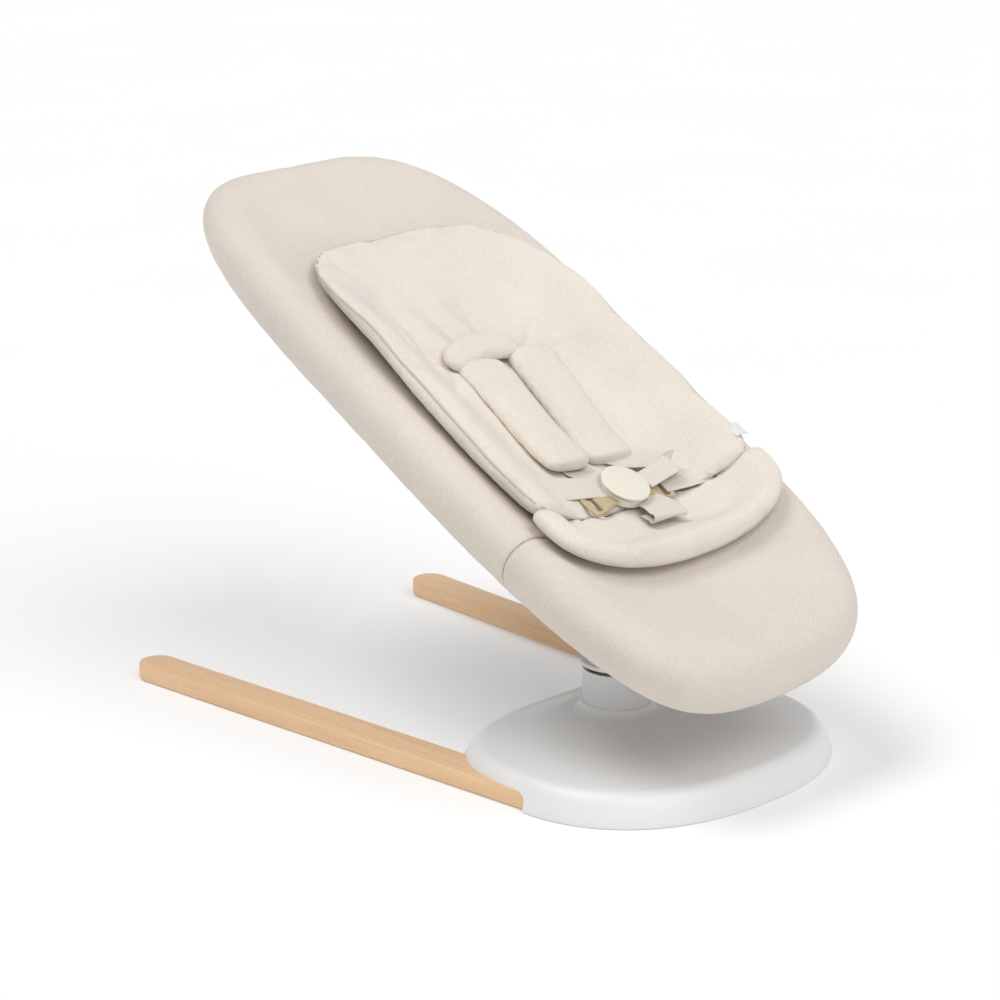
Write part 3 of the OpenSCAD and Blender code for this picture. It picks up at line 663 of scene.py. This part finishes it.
def dome_ring(f, drop):
    """A ring of the top, from the ridge (f = 0) to the start of the flare (f = 1)."""
    t = np.linspace(0, 2 * math.pi, BASE_N, endpoint=False)
    r = NECK_R + FLARE
    hole = np.stack([r * np.sin(t), NECK_Y + r * np.cos(t), np.zeros(BASE_N)], -1)
    ring = base_ring(RIDGE_IN, 0.0) * (1 - f) + hole * f
    ring[:, 2] = RIDGE_Z - drop + (DOME_H - RIDGE_Z) * (f * f * (3 - 2 * f) * 0.75 + f * 0.25)
    return ring


def flare_ring(degrees, drop):
    """A ring of the flare, from the top's level (0) to upright at the neck (90)."""
    t = np.linspace(0, 2 * math.pi, BASE_N, endpoint=False)
    a = math.radians(degrees)
    r = NECK_R + NECK_GAP + drop + (FLARE - NECK_GAP) * (1 - math.sin(a))
    return np.stack([r * np.sin(t), NECK_Y + r * np.cos(t),
                     np.full(BASE_N, DOME_H - drop + (FLARE - 0.002) * (1 - math.cos(a)))], -1)


def base_shell():
    outer = [(0.0012, BASE_Z0), (0.0003, BASE_Z0 + 0.0008), (0.0, 0.003), (0.0028, 0.012), (0.0062, 0.020),
             (0.0092, 0.0255), (0.0122, 0.0292), (0.0152, 0.0315), (0.0180, 0.0328)]
    inner = [(0.0150, 0.0270), (0.010, 0.020), (0.004, 0.004), (0.0037, BASE_Z0)]
    steps, bends = np.linspace(0, 1, 34), np.linspace(10, 90, 9)
    rings = [base_ring(i, z) for i, z in outer] + [dome_ring(f, 0) for f in steps]
    rings += [flare_ring(a, 0) for a in bends] + [flare_ring(a, WALL * 0.4) for a in bends[::-1]]
    rings += [dome_ring(f, WALL) for f in steps[::-1]] + [base_ring(i, z) for i, z in inner]
    rows = len(rings)
    obj = new_object("base_shell", np.array(rings).reshape(-1, 3), grid_faces(rows, BASE_N, True, True))
    outward(obj)
    for leg in ("leg_left", "leg_right"):
        cut = nodes[leg].data.copy()
        cutter = bpy.data.objects.new("cutter", cut)
        bpy.context.scene.collection.objects.link(cutter)
        merge(cutter)
        open_outwards(cutter)
        add_modifier(obj, "BOOLEAN", object=cutter, operation="DIFFERENCE", solver="EXACT")
        apply_all(obj)
        bpy.data.objects.remove(cutter)
    shade_by_angle(obj, 35)
    return obj


def merge(obj, dist=1e-6):
    bm = bmesh.new()
    bm.from_mesh(obj.data)
    bmesh.ops.remove_doubles(bm, verts=bm.verts, dist=dist)
    bmesh.ops.dissolve_limit(bm, angle_limit=math.radians(0.5), verts=bm.verts, edges=bm.edges)
    bm.to_mesh(obj.data)
    bm.free()


def open_outwards(cutter):
    """Widens a leg's shape past the base's floor and side, so that its slot is open there."""
    bm = bmesh.new()
    bm.from_mesh(cutter.data)
    bm.normal_update()
    low = min(v.co.z for v in bm.verts)
    side = 1 if sum(v.co.x for v in bm.verts) > 0 else -1
    outer = [f for f in bm.faces if f.normal.x * side > 0.99 and f.calc_area() > 0.002]
    moved = set(v for f in outer for v in f.verts)
    for v in bm.verts:
        if v.co.z < low + 1e-4:
            v.co.z -= 0.005
        if v in moved:
            v.co.x += side * 0.03
        else:
            v.co.x -= side * SLOT_GAP
        if v.co.y < BASE_Y:
            v.co.y -= SLOT_GAP
    bm.to_mesh(cutter.data)
    bm.free()


def shade_by_angle(obj, degrees):
    obj.data.polygons.foreach_set("use_smooth", [True] * len(obj.data.polygons))
    bm = bmesh.new()
    bm.from_mesh(obj.data)
    for e in bm.edges:
        e.smooth = not (len(e.link_faces) == 2 and e.calc_face_angle() > math.radians(degrees))
    bm.to_mesh(obj.data)
    bm.free()


base = base_shell()
dress(base, "white_plastic")
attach(base, "base")
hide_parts("base_cover")


# ---- legs ----
def leg_piece(name, node):
    obj = bpy.data.objects.new(name, nodes[node].data.copy())
    bpy.context.scene.collection.objects.link(obj)
    merge(obj, 1e-5)
    add_modifier(obj, "BEVEL", width=0.0022, segments=3, limit_method="ANGLE", angle_limit=math.radians(30))
    apply_all(obj)
    shade_by_angle(obj, 40)
    dress(obj, "beech")
    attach(obj, "base")
    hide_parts(node)
    return obj


leg_piece("left_leg", "leg_left")
leg_piece("right_leg", "leg_right")


# ---- bounce springs ----
def coil_springs():
    """The two coil springs in the neck."""
    obj = bpy.data.objects.new("coil_springs", nodes["bounce_springs"].data.copy())
    bpy.context.scene.collection.objects.link(obj)
    merge(obj, 1e-5)
    obj.data.polygons.foreach_set("use_smooth", [True] * len(obj.data.polygons))
    dress(obj, "spring_steel")
    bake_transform(obj)
    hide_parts("bounce_springs")


coil_springs()


# ---- padded pieces ----
CLEAR = 0.0012                             # gap between stacked layers
INSERT_N = EDGE_R + CLEAR
WELL_T = 0.010
WELL_DIP = 0.002                           # how far the middle sinks at the harness
BOLSTER_T = 0.029
BOLSTER_HEAD_T = 0.014
BACK_FOOT_S = 0.2355
SEAT_REAR_S = 0.2465
INSERT_HEAD_S = 0.692
INSERT_FRONT_S = 0.151
INSERT_HALF_W = 0.164
INSERT_SEAT_HALF_W = 0.168
BACK_POWER, SEAT_POWER, JOINT_POWER = 3.3, 2.7, 14.0
BOLSTER_IN, BOLSTER_OUT = 0.018, 0.080     # where a bolster's top starts to fall, and where the middle begins
PAD_N = INSERT_N + WELL_T + CLEAR


def plan(d, half_w, s_mid, head, foot, head_power, foot_power, count):
    """A pad's outline drawn in by d, with its points spread evenly."""
    t = np.linspace(0, 2 * math.pi, count * 4, endpoint=False)
    c, si = np.cos(t), np.sin(t)
    p = np.where(c > 0, head_power, foot_power)
    reach = np.where(c > 0, head, foot)
    x = (half_w - d) * power(si, p)
    s = s_mid + np.maximum(reach - d, 0.0) * power(c, p)
    return spread(x, s, count)


PAD_RING_N = 260
BACK_MID = (BACK_FOOT_S + INSERT_HEAD_S) / 2
BACK_HALF = (INSERT_HEAD_S - BACK_FOOT_S) / 2
SEAT_REAR_REACH = 0.016                    # from the seat part's widest line to its rear edge
SEAT_REAR_POWER = 9.0
SEAT_MID = SEAT_REAR_S - SEAT_REAR_REACH
SEAT_FOOT = SEAT_MID - INSERT_FRONT_S


def back_plan(d, count=PAD_RING_N):
    return plan(d, INSERT_HALF_W, BACK_MID, BACK_HALF, BACK_HALF, BACK_POWER, JOINT_POWER, count)


def seat_plan(d, count=PAD_RING_N):
    return plan(d, INSERT_SEAT_HALF_W, SEAT_MID, SEAT_REAR_REACH, SEAT_FOOT,
                SEAT_REAR_POWER, SEAT_POWER, count)


def depth_in(x, v, half_w, reach, p):
    """Distance in from an outline of the given power, whose far side lies reach away along v."""
    v = np.clip(v / reach, 0, None)
    level = (np.abs(x / half_w) ** p + v ** p + 1e-9) ** (1 / p)
    share = v ** p / (level ** p)
    return (1 - level) * (half_w + (reach - half_w) * share)


def rolled(d, height, middle):
    """A bolster of the given height at the outline, falling softly to the thin middle."""
    fall = smooth((d - BOLSTER_IN) / (BOLSTER_OUT - BOLSTER_IN))
    return height + (middle - height) * fall


def back_top(x, s):
    d = depth_in(x, s - BACK_MID, INSERT_HALF_W, BACK_HALF, BACK_POWER)
    height = BOLSTER_T + (BOLSTER_HEAD_T - BOLSTER_T) * smooth((s - 0.50) / 0.17)
    height = height + 0.0015 * ripple(x * 0.3, s, 21, 0.16)
    hollow = WELL_DIP * np.exp(-((x / 0.075) ** 2) - ((s - 0.56) / 0.10) ** 2)
    return rolled(d, height, WELL_T - hollow) + 0.0006 * ripple(x, s, 11, 0.07)


def near_line(x, s, start, end, width):
    """1 on the line from start to end, falling away over width and towards its ends."""
    x0, s0 = start
    dx, ds = end[0] - x0, end[1] - s0
    u = np.clip(((x - x0) * dx + (s - s0) * ds) / (dx * dx + ds * ds), 0, 1)
    away = np.hypot(x - x0 - dx * u, s - s0 - ds * u)
    return np.exp(-(away / width) ** 2) * (1 - 0.85 * u)


# pulls in the cloth round the harness pads: start, end, width and depth of each
CREASES = (
    ((-0.078, 0.500), (-0.112, 0.560), 0.0090, 0.0060), ((-0.074, 0.508), (-0.078, 0.572), 0.0070, 0.0040),
    ((-0.085, 0.482), (-0.125, 0.500), 0.0070, 0.0035), ((-0.020, 0.520), (-0.034, 0.590), 0.0100, 0.0040),
    ((0.016, 0.516), (0.030, 0.600), 0.0100, 0.0045), ((0.052, 0.486), (0.100, 0.530), 0.0080, 0.0040),
    ((0.056, 0.474), (0.108, 0.470), 0.0070, 0.0026), ((-0.080, 0.455), (-0.108, 0.420), 0.0070, 0.0026),
    ((-0.060, 0.245), (-0.100, 0.270), 0.0060, 0.0026), ((0.075, 0.248), (0.110, 0.285), 0.0060, 0.0026))
RIDGES = (
    ((-0.003, 0.522), (-0.004, 0.600), 0.0080, 0.0030), ((-0.046, 0.512), (-0.056, 0.585), 0.0090, 0.0026),
    ((0.036, 0.506), (0.064, 0.574), 0.0090, 0.0024))


def back_folds(x, s, n):
    """Creases and soft ridges on the upper side of the insert's back."""
    upper = smooth((n - INSERT_N - side_lift(x, s) - 0.005) / 0.003)
    total = 1.4 * sum(depth * near_line(x, s, a, b, w) for a, b, w, depth in RIDGES)
    total = total - 1.3 * sum(depth * near_line(x, s, a, b, w) for a, b, w, depth in CREASES)
    slip = ripple(x * 0.6, s, 31, 0.045) * 0.0006 + ripple(x, s, 33, 0.11) * 0.0009
    return upper * (total + slip)


def side_lift(x, s):
    """The near side of the insert's back stands off the cover a little."""
    return 0.009 * np.exp(-((s - 0.52) / 0.10) ** 2) * smooth((-x - 0.09) / 0.07)


def seat_top(x, s):
    d = depth_in(x, SEAT_MID - s, INSERT_SEAT_HALF_W, SEAT_FOOT, SEAT_POWER)
    return rolled(d * 1.3, BOLSTER_T - 0.001, WELL_T - 0.001) + 0.0004 * ripple(x, s, 13, 0.09)


UNDER = ((0.155, 0.0), (0.125, 0.0), (0.100, 0.0), (0.080, 0.0), (0.060, 0.0), (0.034, 0.0),
         (0.020, 0.0016), (0.012, 0.0042), (0.0055, 0.0075), (0.0016, 0.0105))
ROUND = 0.017                              # width of the rounding above the outline


def pad_rings(outline, top, depth, lift=lambda x, s: 0.0):
    """Rings from the underside's middle, round the edge and over the top to depth."""
    rings = []
    for d, h in UNDER:
        x, s = outline(d)
        rings.append(on_seat(x, s, INSERT_N + lift(x, s) + h * np.minimum(1, top(x, s) / 0.016)))
    for d in np.concatenate([[0.0002], np.linspace(0.001, ROUND, 10), np.linspace(ROUND + 0.004, depth, 34)]):
        x, s = outline(d)
        height = top(x, s)
        rise = (1 - np.clip(1 - d / ROUND, 0, 1) ** 2.4) ** (1 / 2.4)
        start = 0.0125 * np.minimum(1, height / 0.018)
        rings.append(on_seat(x, s, INSERT_N + lift(x, s) + start + (height - start) * rise))
    return rings


def edge_path(outline, top, d, share, lift=lambda x, s: 0.0, count=360):
    """A line round a pad, d in from its outline and at a share of its height."""
    x, s = outline(d, count)
    return on_seat(x, s, INSERT_N + lift(x, s) + top(x, s) * share)


def resample(route, count):
    """A smooth line through route's points, with count even stations."""
    pts = np.asarray(route, float)
    ext = np.vstack([2 * pts[0] - pts[1], pts, 2 * pts[-1] - pts[-2]])
    fine = []
    for i in range(1, len(ext) - 2):
        p0, p1, p2, p3 = ext[i - 1], ext[i], ext[i + 1], ext[i + 2]
        for u in np.linspace(0, 1, 40, endpoint=False):
            fine.append(0.5 * (2 * p1 + (p2 - p0) * u + (2 * p0 - 5 * p1 + 4 * p2 - p3) * u ** 2
                               + (3 * p1 - p0 - 3 * p2 + p3) * u ** 3))
    fine.append(ext[-2])
    fine = np.array(fine)
    length = np.concatenate([[0], np.cumsum(np.linalg.norm(np.diff(fine[:, :3], axis=0), axis=1))])
    at = np.linspace(0, length[-1], count)
    return np.stack([np.interp(at, length, fine[:, k]) for k in range(fine.shape[1])], -1), length[-1]


def swept(name, route, width, section, stations, ends=None):
    """A strip along a route of (x, s, n, turn, roll): turn is the direction of its width in the seat's
    plane and roll its tilt about its own length, both in degrees. section gives (across, up)."""
    line, total = resample(route, stations)
    centre = on_seat(line[:, 0], line[:, 1], line[:, 2])
    along = unit(np.gradient(centre, axis=0))
    turn = np.radians(line[:, 3])
    step = 0.001
    side = on_seat(line[:, 0] + step * np.cos(turn), line[:, 1] + step * np.sin(turn), line[:, 2]) - centre
    side = unit(side - along * np.sum(side * along, axis=1, keepdims=True))
    normal = np.cross(side, along)
    roll = np.radians(line[:, 4])[:, None]
    side, normal = side * np.cos(roll) + normal * np.sin(roll), normal * np.cos(roll) - side * np.sin(roll)
    if normal[0] @ seat_normal(line[0, 1]) < 0:
        normal = -normal
    rings, uv = [], []
    for i in range(stations):
        u = i / (stations - 1)
        w = (width(u) if callable(width) else width) / 2
        across, up = section(u)
        if ends is not None:
            across = across * ends(u)
        rings.append(centre[i] + np.outer(across * w, side[i]) + np.outer(up, normal[i]))
        uv.append(np.stack([across * w, np.full_like(across, u * total)], -1))
    return loft(name, rings, uv)


def round_ends(start, end, p=2.4):
    """Narrows a strip to round tips: start and end are the shares of its length they take."""
    def scale(u):
        k = 1.0
        if start and u < start:
            k = (1 - (1 - u / start) ** p) ** (1 / p)
        if end and u > 1 - end:
            k = min(k, (1 - (1 - (1 - u) / end) ** p) ** (1 / p))
        return max(k, 0.02)
    return scale


def pillow(thick, tip, count=28, flat=0.35):
    """Cross-section of a stuffed strip: crowned above, flatter below."""
    angle = np.linspace(0, 2 * math.pi, count, endpoint=False)
    across = np.sign(np.cos(angle)) * np.abs(np.cos(angle)) ** 0.72
    rise = np.sin(angle)
    up = np.where(rise > 0, np.abs(rise) ** 0.7 * (1 - flat), -np.abs(rise) ** 0.9 * flat)
    return lambda u: (across, (up * tip(u) ** 0.6 + flat) * thick)


def ribbon(thick):
    """Cross-section of webbing: flat, with rounded selvedges."""
    across = np.array([-1, -0.99, -0.94, -0.5, 0, 0.5, 0.94, 0.99, 1, 0.99, 0.94, 0.5, 0, -0.5, -0.94, -0.99])
    up = np.array([0.5, 0.82, 1, 1, 1, 1, 1, 0.82, 0.5, 0.18, 0, 0, 0, 0, 0, 0.18]) * thick
    return lambda u: (across, up)


def seat_piece(obj, slot, *replaced, fill=None):
    dress(obj, slot)
    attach(obj, "seat")
    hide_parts(*replaced)
    return obj


def shoulder_pad(name, route, width, thick):
    tips = round_ends(0.09, 0.11, 3.2)
    return swept(name, route, width, pillow(thick, tips, flat=0.3), 64, tips)


back_pad = loft("insert_back_pad", pad_rings(back_plan, back_top, 0.160, side_lift))
seat_pad = loft("insert_seat_pad", pad_rings(seat_plan, seat_top, 0.086))
near_pad = shoulder_pad("right_shoulder_pad", [
    (-0.034, 0.476, PAD_N - 0.002, 0, 0), (-0.038, 0.435, PAD_N + 0.001, 0, 0),
    (-0.044, 0.385, PAD_N + 0.002, 0, 0), (-0.049, 0.335, PAD_N + 0.004, -4, 0),
    (-0.050, 0.298, PAD_N + 0.008, -9, 0)], 0.063, 0.017)
far_pad = shoulder_pad("left_shoulder_pad", [
    (0.041, 0.478, PAD_N - 0.001, 0, 0), (0.034, 0.435, PAD_N + 0.001, 0, 0),
    (0.025, 0.385, PAD_N + 0.001, 0, 0), (0.017, 0.335, PAD_N + 0.001, 0, 0),
    (0.012, 0.298, PAD_N + 0.004, 0, 0)], 0.060, 0.017)
yoke_tips = round_ends(0.24, 0.24, 2.3)
yoke_pad = swept("yoke", [
    (-0.066, 0.470, PAD_N, -40, 0), (-0.054, 0.484, PAD_N + 0.001, -48, 0),
    (-0.022, 0.494, PAD_N + 0.003, -84, 0), (0.012, 0.490, PAD_N + 0.003, -110, 0),
    (0.030, 0.478, PAD_N + 0.001, -122, 0)],
    lambda u: 0.035 + 0.006 * math.sin(math.pi * u), pillow(0.015, yoke_tips), 60, yoke_tips)


def back_held(x, s, n):
    """The insert's back is sewn down along its underside and in a line under the yoke."""
    under_yoke = near_line(x, s, (-0.070, 0.490), (0.046, 0.488), 0.006) > 0.4
    return (n < INSERT_N + side_lift(x, s) + 0.004) | under_yoke


puffed(back_pad, back_held, voxel=0.0042, cap=0.004, grow=0.006)
sculpt(back_pad, back_folds)
puffed(seat_pad, lambda x, s, n: n < INSERT_N + 0.004, voxel=0.0042, cap=0.003, grow=0.0)
for pad in (near_pad, far_pad, yoke_pad):
    puffed(pad, lambda x, s, n: n < PAD_N + 0.003, voxel=0.0030, cap=0.0012, grow=0.02)
back_pad = piped(back_pad, [edge_path(back_plan, back_top, 0.0010, 0.30, side_lift),
                            edge_path(back_plan, back_top, 0.0022, 0.82, side_lift)])
seat_pad = piped(seat_pad, [edge_path(seat_plan, seat_top, 0.0010, 0.40)])

seat_piece(back_pad, "insert_fabric", "insert_back", fill=0.7)
seat_piece(seat_pad, "insert_fabric", "insert_seat", fill=0.8)
seat_piece(near_pad, "harness_pad_fabric", "shoulder_pad_right", fill=0.6)
seat_piece(far_pad, "harness_pad_fabric", "shoulder_pad_left", fill=0.6)
seat_piece(yoke_pad, "harness_pad_fabric", "yoke_pad", fill=0.6)

# ---- webbing ----
WEB_T = 0.0016
BUCKLE_X, BUCKLE_S = -0.011, 0.259


def strap(name, replaced, route, width=0.025, stations=70):
    return seat_piece(swept(name, route, width, ribbon(WEB_T), stations), "webbing", *replaced)


strap("right_shoulder_strap", ["shoulder_strap_right"], [
    (-0.040, 0.440, PAD_N - 0.001, 0, 0), (-0.046, 0.385, PAD_N, 0, 0),
    (-0.047, 0.335, PAD_N + 0.001, 6, 4), (-0.046, 0.304, PAD_N + 0.003, 20, 8),
    (-0.034, 0.286, PAD_N + 0.007, 35, 4), (-0.024, 0.276, PAD_N + 0.008, 40, 0)])
strap("left_shoulder_strap", ["shoulder_strap_left"], [
    (0.004, 0.318, PAD_N + 0.006, 40, 0), (0.020, 0.298, PAD_N + 0.009, 60, 0),
    (0.042, 0.287, PAD_N + 0.011, 66, 0), (0.060, 0.277, PAD_N + 0.013, 74, 0),
    (0.0655, 0.270, PAD_N + 0.0155, 80, 0), (0.058, 0.264, PAD_N + 0.0185, 86, 0),
    (0.040, 0.261, PAD_N + 0.018, 90, 0), (0.020, 0.260, PAD_N + 0.013, 92, 0)], width=0.024, stations=110)
strap("right_waist_strap", ["waist_strap_right"], [
    (-0.108, 0.288, PAD_N - 0.003, 106, -4), (-0.090, 0.281, PAD_N + 0.004, 104, -10),
    (-0.066, 0.274, PAD_N + 0.008, 103, -8), (-0.042, 0.270, PAD_N + 0.008, 100, -3),
    (-0.030, 0.267, PAD_N + 0.007, 98, 0)], width=0.027)
strap("left_waist_strap", ["waist_strap_left"], [
    (0.040, 0.252, PAD_N + 0.006, 90, 0), (0.060, 0.250, PAD_N + 0.005, 90, 0),
    (0.082, 0.250, PAD_N + 0.001, 90, 0), (0.108, 0.252, PAD_N - 0.004, 90, 0)], width=0.024)
strap("crotch_webbing", ["crotch_strap"], [
    (0.005, 0.241, PAD_N + 0.0070, 6, 0), (0.007, 0.236, PAD_N + 0.0080, 5, 0),
    (0.008, 0.222, PAD_N + 0.0125, 3, 0), (0.006, 0.208, PAD_N + 0.0155, 0, 0),
    (0.005, 0.2035, PAD_N + 0.0135, 0, 0), (0.006, 0.208, PAD_N + 0.0105, 0, 0),
    (0.007, 0.220, PAD_N + 0.0065, 0, 0)], width=lambda u: 0.036 + 0.010 * min(1, u * 1.6), stations=100)


# ---- buckle ----
def outline_with_corners(length, half_w, tip_w, corner, count=10):
    """A rounded trapezoid: half_w wide at its outer end, tip_w at the buckle."""
    pts = []
    for x, y, start in ((corner, tip_w - corner, 90), (length - corner, half_w - corner, 0),
                        (length - corner, corner - half_w, -90), (corner, corner - tip_w, -180)):
        for k in range(count + 1):
            a = math.radians(start + (1 - k / count) * 90)
            pts.append((x + corner * math.cos(a), y + corner * math.sin(a)))
    return np.array(pts)


def slotted_plate(name, outer, inner, thick, round_r):
    """A plate with a hole, both edges rounded over."""
    def shrunk(ring, by):
        centre = ring.mean(0)
        d = ring - centre
        return centre + d * (1 - by / np.linalg.norm(d, axis=1, keepdims=True))
    levels = []
    for a in np.radians(np.linspace(-90, 90, 7)):
        height = thick / 2 + (thick / 2 - round_r) * np.sign(a) + round_r * math.sin(a)
        levels.append((round_r * (1 - math.cos(a)), height))
    outer_rings = [np.column_stack([shrunk(outer, i), np.full(len(outer), z)]) for i, z in levels]
    inner_rings = [np.column_stack([shrunk(inner, -i), np.full(len(inner), z)]) for i, z in levels[::-1]]
    rings = np.array(outer_rings + inner_rings)
    obj = new_object(name, rings.reshape(-1, 3), grid_faces(len(rings), len(outer), True, True))
    outward(obj)
    return obj


def place_on_seat(obj, x, s, n, turn_deg, lean_deg=0.0):
    """Moves a piece drawn in its own flat frame to its place on the seat."""
    p = on_seat(x, s, n)
    ex = unit(on_seat(x + 0.001, s, n) - p)
    ey = unit(on_seat(x, s + 0.001, n) - p)
    ez = np.cross(ex, ey)
    turn, lean = math.radians(turn_deg), math.radians(lean_deg)
    ax, ay = ex * math.cos(turn) + ey * math.sin(turn), ey * math.cos(turn) - ex * math.sin(turn)
    ax, az = ax * math.cos(lean) + ez * math.sin(lean), ez * math.cos(lean) - ax * math.sin(lean)
    co = coords(obj)
    set_coords(obj, p + np.outer(co[:, 0], ax) + np.outer(co[:, 1], ay) + np.outer(co[:, 2], az))


def tongues():
    """The two slotted tongues on either side of the buckle."""
    parts = []
    rim = outline_with_corners(0.042, 0.0155, 0.010, 0.006)
    slot = outline_with_corners(0.009, 0.0115, 0.0115, 0.003) + np.array([0.027, 0.0])
    for reach, turn, lean in ((-0.018, 183.0, -3.0), (0.018, -9.0, -2.0)):
        plate = slotted_plate("tongue", rim, slot, 0.0034, 0.0014)
        place_on_seat(plate, BUCKLE_X + reach, BUCKLE_S - 0.006, PAD_N + 0.006, turn, lean)
        parts.append(plate)
    return joined("buckle_tongue_plates", parts)


seat_piece(tongues(), "tongue_plastic", "buckle_tongues")


def blank_label():
    """A small folded ribbon label, blank, sewn onto the insert's far side."""
    route = [(0.1460, 0.268, INSERT_N + 0.0305, 90, 0), (0.1520, 0.268, INSERT_N + 0.0302, 90, 0),
             (0.1590, 0.268, INSERT_N + 0.0280, 90, 0), (0.1635, 0.268, INSERT_N + 0.0245, 90, 0)]
    return swept("blank_label", route, 0.018, ribbon(0.0009), 40)


seat_piece(blank_label(), "tag_fabric", "tag")


# ---- floor and light ----
SURROUND = 0.35                            # strength of the white surround above its horizon band
HORIZON = (0.10, 0.16)                     # heights between which the full-strength band fades out
FLOOR_GLOW = 0.18                          # light of the floor itself, which keeps its shadows faint
SUNS = (("front", (0.0, -0.75, 1.0), 1.45, 50), ("key", (-0.42, 0.25, 1.0), 1.2, 26))


def studio():
    """A pale floor, a white surround and a soft light from above and in front."""
    bpy.ops.mesh.primitive_plane_add(size=60, location=(0, 0, 0))
    floor = bpy.context.object
    floor.name = "floor"
    mat = bpy.data.materials.new("floor")
    make = node_maker(mat)
    place = make("ShaderNodeTexCoord").outputs["Object"]
    tone = mixed(make, noise(make, place, 3.0), rgba((0.76, 0.76, 0.76)), rgba((0.78, 0.78, 0.78)))
    finish_material(make, tone, 0.9, Emission_Color=(1, 1, 1, 1), Emission_Strength=FLOOR_GLOW)
    floor.data.materials.append(mat)
    world = bpy.data.worlds.new("surround")
    bpy.context.scene.world = world
    world.use_nodes = True
    make = node_maker(world)
    towards = make("ShaderNodeTexCoord").outputs["Generated"]
    height = make("ShaderNodeSeparateXYZ", {"Vector": towards}).outputs["Z"]
    level = ranged(make, height, *HORIZON, 1.0, SURROUND)
    sky = make("ShaderNodeBackground", {"Color": (1, 1, 1, 1), "Strength": level}).outputs[0]
    make("ShaderNodeOutputWorld", {"Surface": sky})
    for name, towards, strength, spread in SUNS:
        light = bpy.data.lights.new(name, "SUN")
        light.energy = strength
        light.angle = math.radians(spread)
        obj = bpy.data.objects.new(name, light)
        obj.rotation_euler = Vector(towards).to_track_quat("Z", "Y").to_euler()
        bpy.context.scene.collection.objects.link(obj)
    bpy.context.scene.view_settings.view_transform = "Standard"


studio()
